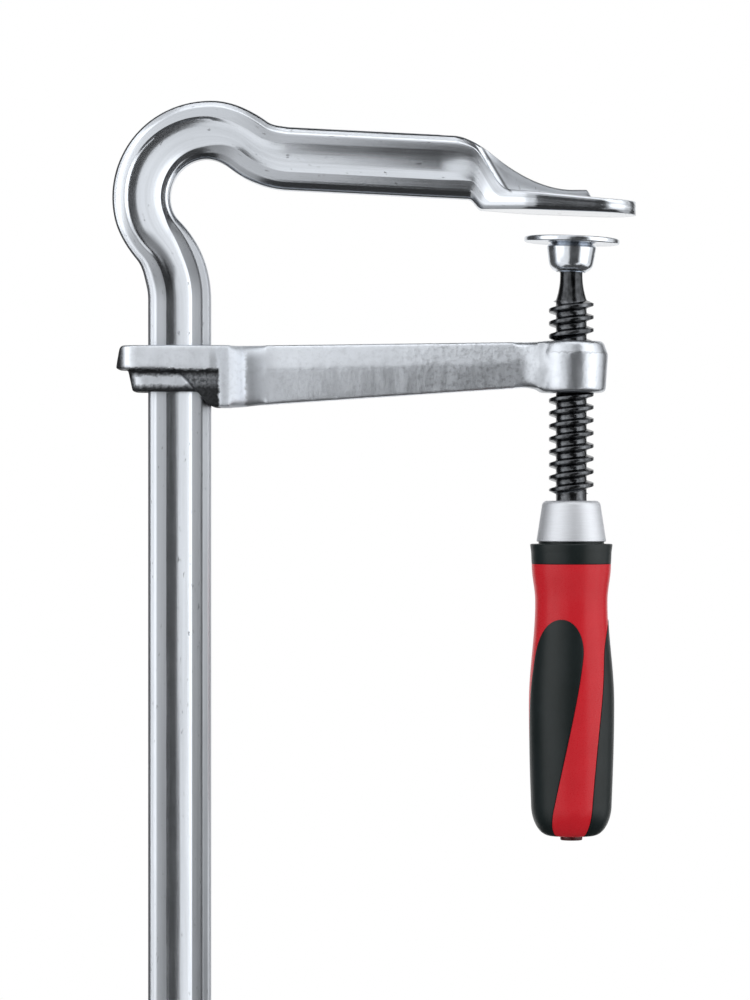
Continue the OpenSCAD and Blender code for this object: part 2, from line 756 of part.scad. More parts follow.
// Panel's half angle and middle direction at a share t of its length
function panel_width(t, slack) =
    let (tip = clamped(t * (handle_len - panel_from) / panel_tip),
         long = clamped((t * (handle_len - panel_from) - panel_tip)
                        / (handle_len - panel_from - panel_tip)))
    mix(panel_half, panel_end_half, long * long) * sqrt(1 - pow(1 - tip, 2)) - slack;
function panel_middle(t) = panel_turn - 90 - panel_twist * t;

// Wedge from the axis outwards whose outline on the handle is one panel
wedge_steps = 20;
wedge_crowd = 1.6;
module panel_wedge(slack) {
    inner = end_flat_d / 4;
    outer = 2 * belly_d;
    first_share = 0.004;
    last_share = 1.08;
    shares = [for (i = [0 : wedge_steps])
        mix(first_share, last_share, pow(i / wedge_steps, wedge_crowd))];
    rings = [for (t = shares)
        let (a = panel_middle(t), w = panel_width(t, slack),
             z = handle_z - mix(panel_from, handle_len, t))
        [for (q = [[inner, 1], [outer, 1], [outer, -1], [inner, -1]])
            [q[0] * cos(a + q[1] * w), q[0] * sin(a + q[1] * w), z]]];
    skin(rings);
}

module around_handle(i) {
    rotate([0, 0, i * 360 / panel_count]) children();
}

// Degrees by which a panel's half angle is less than its pocket's
panel_slack = 0.25;
// The panels' shell starts this far above their tips
shell_lead = 2;
module grip_panel(i) {
    color("#2b3030")
    intersection() {
        panel_shell(panel_from - shell_lead, panel_proud, panel_depth - fit);
        around_handle(i) panel_wedge(panel_slack);
    }
}

module handle_core() {
    outline = handle_depths(0);
    socket_end = 2;
    socket_low = step_z - tang_len - socket_end;
    color("#b8202c")
    difference() {
        union() {
            rotate_extrude()
                polygon(concat(
                    [[0, step_z], [spigot_d / 2, step_z], [spigot_d / 2, handle_z]],
                    [for (s = outline) [handle_r(s), handle_z - s]],
                    [[0, handle_end_z]]));
            translate([0, 0, handle_end_z - nub_h])
                cylinder(d = nub_d, h = nub_h + past);
        }
        for (i = [0 : panel_count - 1])
            intersection() {
                panel_shell(panel_from - shell_lead, past, panel_depth);
                around_handle(i) panel_wedge(0);
            }
        intersection() {
            translate([0, 0, socket_low])
                cylinder(d = tang_d + 2 * fit, h = step_z - socket_low + past);
            translate([-tang_flat / 2 - fit, -tang_d, socket_low - past])
                cube([tang_flat + 2 * fit, 2 * tang_d, step_z - socket_low + 3 * past]);
        }
    }
}

rail();
stop_pin();
sliding_arm();
spindle();
retaining_ring();
socket_cup();
pressure_disc();
ferrule();
grip_collar();
handle_core();
grip_panel(0);  // grip_panel_1
grip_panel(1);  // grip_panel_2
grip_panel(2);  // grip_panel_3
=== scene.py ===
"""Looks of the screw clamp: its visible pieces, finishes, studio and camera.

Sizes are in millimetres and become metres through MM. The front of the clamp
faces -Y, +Z points up along the rail, and the screw's axis is the Z axis.
"""

from math import asin, atan2, ceil, copysign, cos, degrees, pi, radians, sin, sqrt, tan

import bmesh
import bpy
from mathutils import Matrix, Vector


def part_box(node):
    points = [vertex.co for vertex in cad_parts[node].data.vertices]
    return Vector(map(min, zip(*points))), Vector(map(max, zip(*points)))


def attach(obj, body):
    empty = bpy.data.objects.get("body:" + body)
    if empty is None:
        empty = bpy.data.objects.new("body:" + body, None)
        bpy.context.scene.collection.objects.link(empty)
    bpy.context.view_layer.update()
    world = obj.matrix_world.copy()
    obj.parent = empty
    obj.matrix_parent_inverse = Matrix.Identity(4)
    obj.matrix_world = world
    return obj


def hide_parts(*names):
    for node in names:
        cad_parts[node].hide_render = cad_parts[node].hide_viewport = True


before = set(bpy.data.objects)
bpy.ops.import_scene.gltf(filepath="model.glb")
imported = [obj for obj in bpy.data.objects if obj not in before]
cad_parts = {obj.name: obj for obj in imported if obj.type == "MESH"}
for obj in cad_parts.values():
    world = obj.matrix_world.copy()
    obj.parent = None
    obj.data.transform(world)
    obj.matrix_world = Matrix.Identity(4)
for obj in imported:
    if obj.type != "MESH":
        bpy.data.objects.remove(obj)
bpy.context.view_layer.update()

ops = bpy.ops
MM = 0.001
FULL_TURN = 2 * pi

# Rail: section, bends and forged jaw
RAIL_W = 19.5
RAIL_T = 9.5
BEVEL_W = 2.6
BEVEL_D = 1.9
GROOVE_W = 8.0
GROOVE_D = 0.75
WALL_U = 3.3
REACH = 112.0
NECK_R = 20.9
NECK_UP = 4.9
NECK_BACK = 0.7
HEEL_R = 27.7
THROAT_R = 21.5
JAW_UP = 13.2
JAW_SLOPE = radians(2.9)
JAW_BACK = 29.5
JAW_FRONT = 20.0
JAW_W = 27.0
JAW_T = 4.3
JAW_CORNER = 13.0
JAW_TILT = radians(2.2)
RIB_H = 7.3
RIB_HALF = 2.0
RIB_FRONT = 4.5
END_CHAMFER = 1.0

# Screw, pressure plate and handle
THREAD_D = 14.0
PITCH = 4.0
NECK_D = 7.0
CORE_D = 9.6
BALL_D = 8.5
TANG_D = 10.0
PLATE_TILT = radians(2.1)
PANEL_COUNT = 3
FIT_GAP = 0.04

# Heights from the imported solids, and the bar's middle
RING_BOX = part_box("retaining_ring")
RING_UNDER_BALL = 2.41
BALL_Z = (RING_BOX[0].z + RING_BOX[1].z) / 2 / MM + RING_UNDER_BALL
CUP_LOW_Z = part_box("socket_cup")[0].z / MM
FERRULE_LOW_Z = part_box("ferrule")[0].z / MM
FERRULE_TOP_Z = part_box("ferrule")[1].z / MM
GRIP_LOW_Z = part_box("grip_collar")[0].z / MM
HANDLE_LOW_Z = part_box("handle_core")[0].z / MM
TANG_LOW_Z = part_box("spindle")[0].z / MM
RAIL_LOW_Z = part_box("rail")[0].z / MM
PIN_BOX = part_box("stop_pin")
PIN_Z = (PIN_BOX[0].z + PIN_BOX[1].z) / 2 / MM
RAIL_X = -REACH - RAIL_W / 2
# Ends of the seam between bar and rib, and heights of the rib's start and of the rail's lower half
SEAM_TOP = (-28.2, 21.1)
SEAM_LOW = (-19.5, 6.5)
RIB_STARTS = (5.0, 6.5)
LOW_HALF = (-240.0, -60.0)
# The arm's band ends here, and the rough web below it ends at the cheek
BAND_LOW_Z = -48.7
TIER_H = 6.9
TIER_TOP_HALF = 10.75
TIER_LOW_HALF = 9.2
TIER_LEFT = -137.5
COLLAR_LEFT = -141.3
WEB_RIGHT = -REACH + 2.8
# The arm's upright corners, its ridge and the boss's parting line
CHEEK_LEFT = -111.0
CHEEK_RIGHT = -100.4
BOSS_LEFT = -9.8
ARM_RIDGE_Z = -44.0
PARTING_Z = -43.5
# Stretches along the arm over which its finish and its painted light and shade change
CHEEK_STARTS = (-114.0, -109.0)
ARM_STARTS = (-108.0, -98.0)
CHEEK_ENDS = (-98.0, -92.0)
GRAIN_STARTS = (-56.0, -40.0)
BOSS_STARTS = (-16.0, -10.0)
BOSS_SIDE = (-12.0, -6.0)
# Stretches of the arm with wide fillets
CHEEK_FILLET = (-106.0, -95.0)
BOSS_FILLET = (-18.0, -10.5)

# Half widths of the rail's edge and face
FLAT_HALF = RAIL_T / 2 - BEVEL_D
FACE_HALF = RAIL_W / 2 - BEVEL_W

# Centres and angles of the three bends, tangent to one another, in the (x, z) plane
neck_c = Vector((-REACH - NECK_BACK, NECK_UP))
heel_rise = sqrt((NECK_R + HEEL_R) ** 2 - (RAIL_W / 2 + HEEL_R - NECK_BACK) ** 2)
heel_c = Vector((RAIL_X - HEEL_R, NECK_UP - heel_rise))
heel_end = atan2(neck_c.y - heel_c.y, neck_c.x - heel_c.x)
jaw_along = Vector((cos(JAW_SLOPE), -sin(JAW_SLOPE)))
jaw_normal = Vector((sin(JAW_SLOPE), cos(JAW_SLOPE)))
throat_d = sqrt((NECK_R + THROAT_R) ** 2 - (JAW_UP + THROAT_R) ** 2)
throat_c = neck_c + throat_d * jaw_along + (JAW_UP + THROAT_R) * jaw_normal
neck_end = atan2(throat_c.y - neck_c.y, throat_c.x - neck_c.x)
neck_turn = heel_end + pi - neck_end
throat_turn = 1.5 * pi - JAW_SLOPE - neck_end - pi
jaw_point = throat_c - THROAT_R * jaw_normal

# Path lengths at which the bends begin and end
heel_s = heel_c.y
neck_s = heel_s + HEEL_R * heel_end
throat_s = neck_s + NECK_R * neck_turn
jaw_s = throat_s + THROAT_R * throat_turn
top_s = neck_s + NECK_R * (heel_end + pi / 2)


# Helpers for numbers

def mix(a, b, t):
    return a + (b - a) * t


def clamped(t):
    return min(1.0, max(0.0, t))


def ease(t):
    """Smooth step from 0 to 1 that starts and ends level."""
    return (1 - cos(pi * clamped(t))) / 2


def steps_between(start, end, count):
    """Evenly spaced places after a start, up to an end."""
    return [mix(start, end, i / count) for i in range(1, count + 1)]


def arc(centre, radius, start, end, steps):
    """Points on an arc, with its angles in degrees."""
    angles = [radians(mix(start, end, i / steps)) for i in range(steps + 1)]
    return [(centre[0] + radius * cos(a), centre[1] + radius * sin(a)) for a in angles]


def rounded(corners, closed=False, steps=4):
    """Points of an outline whose corners, given as (x, y, radius), are rounded off."""
    points = []
    last = len(corners) - 1
    for i, (x, y, radius) in enumerate(corners):
        here = Vector((x, y))
        if radius == 0 or (not closed and i in (0, last)):
            points.append((x, y))
            continue
        back = (Vector(corners[i - 1][:2]) - here).normalized()
        ahead = (Vector(corners[(i + 1) % (last + 1)][:2]) - here).normalized()
        half = back.angle(ahead) / 2
        cut = radius / tan(half)
        middle = here + (back + ahead).normalized() * radius / sin(half)
        first = here + back * cut - middle
        second = here + ahead * cut - middle
        start = degrees(atan2(first.y, first.x))
        turn = degrees(atan2(second.y, second.x)) - start
        turn = (turn + 180) % 360 - 180
        points += arc(middle, radius, start, start + turn, steps)
    return points


# Modelling helpers

def nothing_selected():
    if bpy.context.object and bpy.context.object.mode != "OBJECT":
        stop_editing()
    ops.object.select_all(action="DESELECT")


def pick(piece):
    """Makes a piece the only selected and the active object."""
    nothing_selected()
    piece.select_set(True)
    bpy.context.view_layer.objects.active = piece


def edit(piece):
    pick(piece)
    ops.object.mode_set(mode="EDIT")


def stop_editing():
    ops.object.mode_set(mode="OBJECT")


def added(operator, name, **settings):
    """An object that one of Blender's operators adds, under a new name."""
    nothing_selected()
    operator(**settings)
    piece = bpy.context.object
    piece.name = name
    piece.data.name = name
    return piece


def draw_line(name, points, closed=False):
    """A line drawn by extruding one vertex from point to point, left in edit mode."""
    piece = added(ops.mesh.primitive_plane_add, name, size=MM)
    edit(piece)
    ops.mesh.select_mode(type="VERT")
    ops.mesh.merge(type="CENTER")
    ops.transform.translate(value=points[0])
    for here, there in zip(points, points[1:]):
        ops.mesh.extrude_vertices_move(TRANSFORM_OT_translate={"value": there - here})
    if closed:
        select_where(piece, lambda vertex: len(vertex.link_edges) == 1)
        ops.mesh.edge_face_add()
    return piece


def select_where(piece, wanted):
    """Selects the points of a piece in edit mode that pass a test."""
    ops.mesh.select_mode(type="VERT")
    ops.mesh.select_all(action="DESELECT")
    mesh = bmesh.from_edit_mesh(piece.data)
    for vertex in mesh.verts:
        vertex.select_set(wanted(vertex))
    mesh.select_flush(True)
    bmesh.update_edit_mesh(piece.data)


def clean(piece, merge=0.001):
    """Merges doubled points, turns the faces outwards and leaves edit mode."""
    edit(piece)
    ops.mesh.select_all(action="SELECT")
    ops.mesh.remove_doubles(threshold=merge * MM)
    ops.mesh.normals_make_consistent(inside=False)
    stop_editing()


def close_up(piece):
    """Merges doubled points and closes every open rim."""
    clean(piece)
    edit(piece)
    ops.mesh.select_mode(type="EDGE")
    ops.mesh.select_all(action="DESELECT")
    ops.mesh.select_non_manifold()
    ops.mesh.fill_holes(sides=0)
    ops.mesh.select_mode(type="VERT")
    clean(piece)


def shade(piece, sharpness=30):
    """Smooth shading that keeps edges sharper than this angle in degrees."""
    pick(piece)
    ops.object.shade_smooth_by_angle(angle=radians(sharpness))


def turned(name, outline, closed=False, centre=(0, 0, 0), out=(1, 0, 0), along=(0, 0, 1),
           steps=96, turn=FULL_TURN):
    """A turned piece: an outline of (radius, height) spun round an axis."""
    middle, side, axis = Vector(centre) * MM, Vector(out), Vector(along)
    points = [middle + side * (r * MM) + axis * (h * MM) for r, h in outline]
    piece = draw_line(name, points, closed)
    ops.mesh.select_all(action="SELECT")
    ops.mesh.spin(steps=steps, angle=turn, center=middle, axis=axis)
    clean(piece)
    shade(piece)
    return piece


def modify(piece, kind, **settings):
    """Adds one modifier to a piece and applies it."""
    pick(piece)
    modifier = piece.modifiers.new(kind.title(), kind)
    for name, value in settings.items():
        setattr(modifier, name, value)
    ops.object.modifier_apply(modifier=modifier.name)


def cut_out(piece, cutter):
    """Takes a cutter's shape out of a piece, and the cutter away."""
    modify(piece, "BOOLEAN", object=cutter, operation="DIFFERENCE", solver="EXACT")
    bpy.data.objects.remove(cutter)


def paint(piece, material):
    piece.data.materials.clear()
    piece.data.materials.append(material)


def finished(piece, body, slot, material, *nodes):
    """Gives a piece its finish, its body and the solids that it stands for."""
    paint(piece, material)
    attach(piece, body)
    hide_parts(*nodes)
    nothing_selected()


# Material helpers

NOISE_ROUGHNESS = 0.55
# Noise lies between these values most of the time
CLOUDY = (0.3, 0.7)


def grey(value, warm=0.0):
    """An opaque grey, a little blue by default."""
    return (value * (0.95 + warm), value, value * (1.07 - warm), 1.0)


def around(middle, half):
    """Both ends of a stretch about its middle."""
    return middle - half, middle + half


def join(socket, value):
    """Gives a socket a number, a colour or another node's output."""
    if isinstance(value, Value):
        socket.id_data.links.new(value.socket, socket)
    else:
        socket.default_value = value


def join_all(node, inputs):
    """Gives values to sockets by their names, with low lines for spaces."""
    for name, value in inputs.items():
        join(node.inputs[name.replace("_", " ")], value)


def add(tree, kind, settings=None, **inputs):
    """Adds a shader node."""
    made = tree.nodes.new("ShaderNode" + kind)
    for name, value in (settings or {}).items():
        setattr(made, name, value)
    join_all(made, inputs)
    return made


class Value:
    """A node's output that can be reckoned with. The sign | stands for the greater of two."""

    def __init__(self, socket):
        self.socket = socket

    def made_from(self, kind, setting, places, values, result=0):
        """A new node's output, with values joined to its numbered sockets."""
        made = add(self.socket.id_data, kind, setting)
        for place, value in zip(places, values):
            join(made.inputs[place], value)
        return Value(made.outputs[result])

    def reckoned(self, operation, other, kind="Math"):
        return self.made_from(kind, {"operation": operation}, (0, 1), (self, other))

    def __add__(self, other):
        return self.reckoned("ADD", other)

    def __sub__(self, other):
        return self.reckoned("SUBTRACT", other)

    def __mul__(self, other):
        return self.reckoned("MULTIPLY", other)

    def __or__(self, other):
        return self.reckoned("MAXIMUM", other)

    def __abs__(self):
        return self.reckoned("ABSOLUTE", 0.0)

    def weighed(self, other, share):
        """A share of this value and the rest of another."""
        return self * share + other * (1 - share)

    def fit(self, ends, low=0.0, high=1.0, smooth=False):
        """Carried from between two ends to between low and high, and held there."""
        setting = {"interpolation_type": "SMOOTHSTEP" if smooth else "LINEAR"}
        return self.made_from("MapRange", setting, range(5), (self, *ends, low, high))

    def span(self, ends, low=0.0, high=1.0, smooth=False):
        """The same for a length whose ends are in millimetres."""
        return self.fit((ends[0] * MM, ends[1] * MM), low, high, smooth)

    def near(self, middle, ends, share=1.0, smooth=True):
        """A share round a place that fades out between two distances from it, in millimetres."""
        return abs(self - middle * MM).span(ends, share, 0.0, smooth)

    def blend(self, first, second):
        """A colour between two colours."""
        return self.made_from("Mix", {"data_type": "RGBA"}, (0, 6, 7), (self, first, second), result=2)

    def parts(self):
        """The three parts of a vector."""
        return [Value(socket) for socket in add(self.socket.id_data, "SeparateXYZ", Vector=self).outputs]


class Finish:
    """A material under way."""

    def __init__(self, name):
        self.material = bpy.data.materials.new(name)
        self.material.use_nodes = True
        self.tree = self.material.node_tree

    def output(self, kind, name, settings=None, **inputs):
        return Value(add(self.tree, kind, settings, **inputs).outputs[name])

    def place(self):
        return self.output("TexCoord", "Object")

    def noise(self, scale, detail, source=None, stretch=None):
        """Noise on Object coordinates or another source, multiplied axis by axis."""
        vector = source or self.place()
        if stretch:
            vector = vector.reckoned("MULTIPLY", stretch, kind="VectorMath")
        return self.output("TexNoise", "Fac", Vector=vector, Scale=scale, Detail=detail,
                           Roughness=NOISE_ROUGHNESS)

    def set(self, **inputs):
        join_all(self.tree.nodes["Principled BSDF"], inputs)

    def done(self, base, roughness, height, depth, strength, metallic=1.0):
        """Joins colour, roughness and a relief whose depth is in millimetres."""
        relief = self.output("Bump", "Normal", Height=height, Strength=strength, Distance=depth * MM)
        self.set(Base_Color=base, Roughness=roughness, Metallic=metallic, Normal=relief)
        return self.material


# Finishes

def drawn_steel():
    """Bright drawn steel: fine lines run along the bar and follow its bends."""
    steel = Finish("drawn_steel")
    path = steel.output("Attribute", "Vector", {"attribute_name": "bar_path"})
    lines = steel.noise(2400.0, 3.0, path, (1.0, 1.0, 0.012))
    bands = steel.noise(520.0, 2.0, path, (1.0, 1.0, 0.03))
    clouds = steel.noise(90.0, 4.0)
    specks = steel.noise(950.0, 4.0, path, (1.0, 1.0, 0.35)).fit((0.66, 0.72))
    bright = lines.weighed(bands, 0.5).fit((0.35, 0.65)).blend(grey(0.66), grey(0.76))
    # Painted shade colours the lands and the inner bevel darker than groove and outer bevel
    side, _, along = path.parts()
    land_edge = around(FACE_HALF + 0.1, 0.5)
    raised = abs(side).span(around(GROOVE_W / 2, 0.2))
    outer = (side * -1.0).span(land_edge, 1.0, 0.0)
    inner = side.span(land_edge, 0.5, 1.0) * side.span((FACE_HALF + 1.5, FACE_HALF + 2.2), 1.0, 0.2)
    # The painted shade on the lands is mostly left off the main bend
    bend_share = 0.15
    below_bend = along.span((neck_s - 8.0, neck_s + 4.0), 1.0, bend_share)
    past_bend = along.span((throat_s - 8.0, throat_s + 4.0), bend_share, 1.0)
    inner_side = side.span(around(GROOVE_W / 2, 0.3))
    before_throat = along.span((throat_s - 26.0, throat_s - 14.0), smooth=True)
    after_heel = along.span((neck_s, neck_s + 10.0), 1.0, 0.0, smooth=True)
    unbent = below_bend | past_bend | inner_side * (before_throat | after_heel)
    # Painted shade makes the lands darker towards the rail's lower end, and the bend darker at its top
    land_shade = along.span(LOW_HALF, 1.0, 0.0).blend(grey(0.31), grey(0.18))
    bright = along.near(top_s, (6.0, 26.0), 0.3).blend(bright, grey(0.40))
    shaded_tone = (raised * outer * inner * unbent).blend(bright, land_shade)
    # Painted shade makes the lands darkest in the heel
    heel_middle = neck_s - 4.0
    heel_shade = along.near(heel_middle, (7.0, 18.0), 0.65)
    on_face = abs(side).span(land_edge, 1.0, 0.0)
    shaded_tone = (raised * on_face * heel_shade).blend(shaded_tone, grey(0.24))
    # Painted shade darkens the groove's outer wall in the jaw and, farther in, in the heel, and the inner
    # land before the throat
    wall = side.near(-WALL_U, (0.5, 1.3))
    heel_shift = along.near(heel_middle, (5.0, 15.0), 2.2 * MM)
    heel_band = (side - heel_shift).near(-WALL_U, (0.5, 2.4))
    in_heel = along.near(heel_middle, (7.0, 18.0), 0.88)
    in_jaw = along.span((jaw_s - 4.0, jaw_s + 10.0), 0.0, 0.4, smooth=True)
    in_throat = along.near(throat_s - 13.0, (3.0, 14.0), 0.6)
    groove_shade = heel_band * in_heel | wall * (in_jaw | heel_shade) | inner_side * in_throat
    shaded_tone = groove_shade.blend(shaded_tone, grey(0.16))
    # Forging leaves scale on the rib's flanks, and painted shade darkens the seam where the bar runs into
    # the plate
    x, _, z = steel.place().parts()
    forged = x.span((-JAW_BACK - 2.0, -JAW_BACK + 6.0), smooth=True)
    rib = forged * z.span(RIB_STARTS)
    seam_across = Vector((SEAM_LOW[1] - SEAM_TOP[1], SEAM_TOP[0] - SEAM_LOW[0])).normalized()
    from_seam = (x - SEAM_TOP[0] * MM) * seam_across.x + (z - SEAM_TOP[1] * MM) * seam_across.y
    seam = from_seam.near(0.0, (0.15, 0.6), 0.8, smooth=False) * z.span((SEAM_LOW[1] - 1.0, SEAM_LOW[1]))
    scale = (forged * 0.16).blend(shaded_tone, grey(0.34))
    seamed = seam.blend(scale, grey(0.05))
    base = (specks * 0.6).blend(seamed, grey(0.15))
    # The straight lands are rubbed rougher, the rib is left rough and the pressing face is ground
    worn = lines.weighed(clouds, 0.55).fit(CLOUDY, 0.17, 0.25)
    rubbing = raised * along.span((neck_s - 12.0, neck_s), 0.14, 0.0)
    _, _, normal_z = steel.output("NewGeometry", "True Normal").parts()
    ground = forged * normal_z.fit((-0.97, -0.93), 0.08, 0.0)
    roughness = worn + rubbing + rib * 0.22 - ground
    return steel.done(base, roughness, lines - specks * 0.8, 0.03, 0.5)


def forged_steel():
    """Tumbled forging: soft dents, dark scale with painted shade on the collar's web under the band, and
    painted shade in its crevices and at its ends.
    """
    steel = Finish("forged_steel")
    dents = steel.noise(170.0, 3.0)
    grain = steel.noise(1100.0, 4.0)
    mottle = steel.noise(760.0, 4.0)
    streaks = steel.noise(420.0, 3.0, stretch=(1.0, 1.0, 0.12))
    true_x, true_y, true_z = steel.place().parts()
    normal_x, _, normal_z = steel.output("NewGeometry", "Normal").parts()
    # Scale, with painted shade over it, is left on the web, which stands out from the tier; painted shade
    # fills the crevice under the band and runs round the tier's edges
    ragged = 0.9
    wander = (mottle - 0.5) * (2 * ragged * MM)
    x = true_x + wander
    z = true_z + wander
    left_of_web = x.span((WEB_RIGHT - ragged / 2, WEB_RIGHT + ragged / 4), 1.0, 0.0)
    below = left_of_web * z.span(around(BAND_LOW_Z, ragged / 2), 1.0, 0.0)
    tier_low_z = BAND_LOW_Z - TIER_H
    tier_half = true_z.span((tier_low_z, BAND_LOW_Z), TIER_LOW_HALF * MM, TIER_TOP_HALF * MM)
    outside = (abs(true_y) - tier_half).span((0.15, 0.45))
    crevice = z.span((BAND_LOW_Z - 2.4, BAND_LOW_Z - 1.0))
    rim = z.span((tier_low_z + 1.0, tier_low_z + 2.4), 0.9, 0.0)
    # Painted shade darkens the corners where the ends turn away, and less so the end faces themselves
    end_faces_spared = normal_x.fit((-0.985, -0.92), 0.2, 1.0)
    tier_end = end_faces_spared * x.span((TIER_LEFT + 1.0, TIER_LEFT + 2.6), 0.9, 0.0)
    collar_end = end_faces_spared * true_x.span((COLLAR_LEFT + 1.6, COLLAR_LEFT + 3.3), 0.85, 0.0)
    painted_shade = below * (crevice | rim | tier_end) | collar_end
    scale_and_shade = below * outside | painted_shade
    bright = streaks.weighed(dents, 0.6).fit((0.35, 0.68)).blend(grey(0.66), grey(0.76))
    # Painted light makes the arm between cheek and boss lighter, most of all where it faces down
    on_arm = true_x.span(ARM_STARTS) * true_x.span(BOSS_STARTS, 1.0, 0.0)
    arm_painted_light = (on_arm * normal_z.fit((-0.10, 0.0), 1.0, 0.42)).blend(bright, grey(0.94))
    # Its half next to the boss is left grainy
    grainy = true_x.span(GRAIN_STARTS, 0.2, 0.6, smooth=True) * true_x.span(BOSS_STARTS, 1.0, 0.5)
    dulled = (grainy * mottle.fit((0.48, 0.70))).blend(arm_painted_light, grey(0.38))
    scaly = grain.fit((0.35, 0.65)).blend(grey(0.09), grey(0.27))
    scaled_over = scale_and_shade.blend(dulled, scaly)
    dulled_boss = true_x.span(BOSS_SIDE, 0.0, 0.3).blend(scaled_over, grey(0.42))
    # Painted shade stands in the upright corners beside the cheek and the boss, and the boss shows its
    # parting line
    left_line = x.near(CHEEK_LEFT, (0.5, 1.6), 0.4)
    right_start = x.span((CHEEK_RIGHT - 1.2, CHEEK_RIGHT), 0.0, 0.62, smooth=True)
    right_line = right_start * x.span((CHEEK_RIGHT, CHEEK_RIGHT + 11.0), 1.0, 0.0, smooth=True)
    low_down = z.span(around(ARM_RIDGE_Z, 2.0), 1.0, 0.1, smooth=True)
    boss_line = x.near(BOSS_LEFT, (0.9, 5.0), 0.38)
    on_boss = true_x.span((BOSS_SIDE[1] - 2.0, BOSS_SIDE[1]), 0.0, 0.4)
    parting = on_boss * z.near(PARTING_Z, (0.1, 0.35), smooth=False)
    lined = ((left_line | right_line) * low_down | boss_line | parting).blend(dulled_boss, grey(0.20))
    # Painted shade, nearly black, in the crevice, round the tier's rim and at the ends' corners
    base = (painted_shade * 0.95).blend(lined, grey(0.02))
    # The boss is tumbled smoother than the rest, and the cheek is left rougher
    boss = true_x.span(BOSS_SIDE, 0.0, -0.05)
    cheek = true_x.span(CHEEK_STARTS, 0.0, 0.22) * true_x.span(CHEEK_ENDS, 1.0, 0.0)
    roughness = streaks.fit(CLOUDY, 0.33, 0.43) + boss + cheek + scale_and_shade * 0.25
    height = dents + streaks * 0.15 + mottle * grainy + grain * scale_and_shade * 4.0
    return steel.done(base, roughness, height, 0.21, 0.6)


def black_oxide():
    """Blackened, lightly oiled steel, unevenly worn and darkest at the neck."""
    steel = Finish("black_oxide")
    wear = steel.noise(600.0, 4.0)
    rings = steel.noise(1800.0, 2.0, stretch=(0.1, 0.1, 1.0))
    worn = wear.fit((0.35, 0.7)).blend(grey(0.05), grey(0.16))
    _, _, z = steel.place().parts()
    base = z.span((CUP_LOW_Z - 9.5, CUP_LOW_Z - 8.0), 0.0, 0.6).blend(worn, grey(0.025))
    return steel.done(base, wear.fit(CLOUDY, 0.16, 0.26), rings, 0.01, 0.5)


def plated_steel():
    """Turned and bright-plated steel with faint turning marks."""
    steel = Finish("plated_steel")
    marks = steel.noise(3200.0, 2.0, stretch=(0.05, 0.05, 1.0))
    stains = steel.noise(260.0, 4.0)
    base = stains.fit((0.35, 0.7)).blend(grey(0.62), grey(0.74))
    return steel.done(base, stains.fit(CLOUDY, 0.15, 0.27), marks, 0.004, 0.5)


def spring_steel():
    """Phosphated spring steel: dark grey and matt."""
    steel = Finish("spring_steel")
    grain = steel.noise(2200.0, 4.0)
    base = grain.fit((0.35, 0.65)).blend(grey(0.09), grey(0.20))
    return steel.done(base, grain.fit(CLOUDY, 0.36, 0.52), grain, 0.01, 0.5, metallic=0.9)


def satin_aluminium():
    """Blasted aluminium with a fine satin grain and faint turning lines."""
    metal = Finish("satin_aluminium")
    grain = metal.noise(5200.0, 3.0)
    tone = grain.weighed(metal.noise(2600.0, 2.0, stretch=(0.08, 0.08, 1.0)), 0.5)
    base = tone.fit((0.35, 0.65)).blend(grey(0.66, 0.02), grey(0.74, 0.02))
    return metal.done(base, tone.fit(CLOUDY, 0.54, 0.64), grain, 0.006, 0.6)


def red_plastic():
    """Hard red plastic with a finely eroded mould surface and a nearly black nub at its end."""
    plastic = Finish("red_plastic")
    grain = plastic.noise(3800.0, 3.0)
    clouds = plastic.noise(140.0, 3.0)
    red = clouds.fit(CLOUDY).blend((0.57, 0.009, 0.018, 1), (0.61, 0.012, 0.022, 1))
    _, _, z = plastic.place().parts()
    dark_end = z.span((HANDLE_LOW_Z + 1.0, HANDLE_LOW_Z + 1.3), 0.9, 0.0)
    base = dark_end.blend(red, (0.02, 0.008, 0.009, 1))
    plastic.set(Specular_IOR_Level=0.27)
    return plastic.done(base, grain.fit(CLOUDY, 0.25, 0.33), grain, 0.008, 0.6, metallic=0.0)


def soft_black():
    """Soft charcoal-black grip rubber, matt with a fine grain."""
    rubber = Finish("soft_black")
    grain = rubber.noise(3000.0, 4.0)
    clouds = rubber.noise(120.0, 3.0)
    base = clouds.fit(CLOUDY).blend((0.004, 0.009, 0.009, 1), (0.008, 0.014, 0.015, 1))
    rubber.set(Specular_IOR_Level=0.3)
    return rubber.done(base, grain.fit(CLOUDY, 0.34, 0.44), grain, 0.012, 0.6, metallic=0.0)


# Rail: section and path

# A point counts as on an edge or a bend within these distances, in millimetres and radians
ON_EDGE = 0.02
ANGLE_SLACK = 0.01
RING_DEGREES = 2.5
# Bends: centre, radius, way of turning, path length and angle at the start, and turn
BENDS = ((heel_c, HEEL_R, 1, heel_s, 0.0, heel_end),
         (neck_c, NECK_R, -1, neck_s, heel_end + pi, neck_turn),
         (throat_c, THROAT_R, 1, throat_s, neck_end + pi, throat_turn))


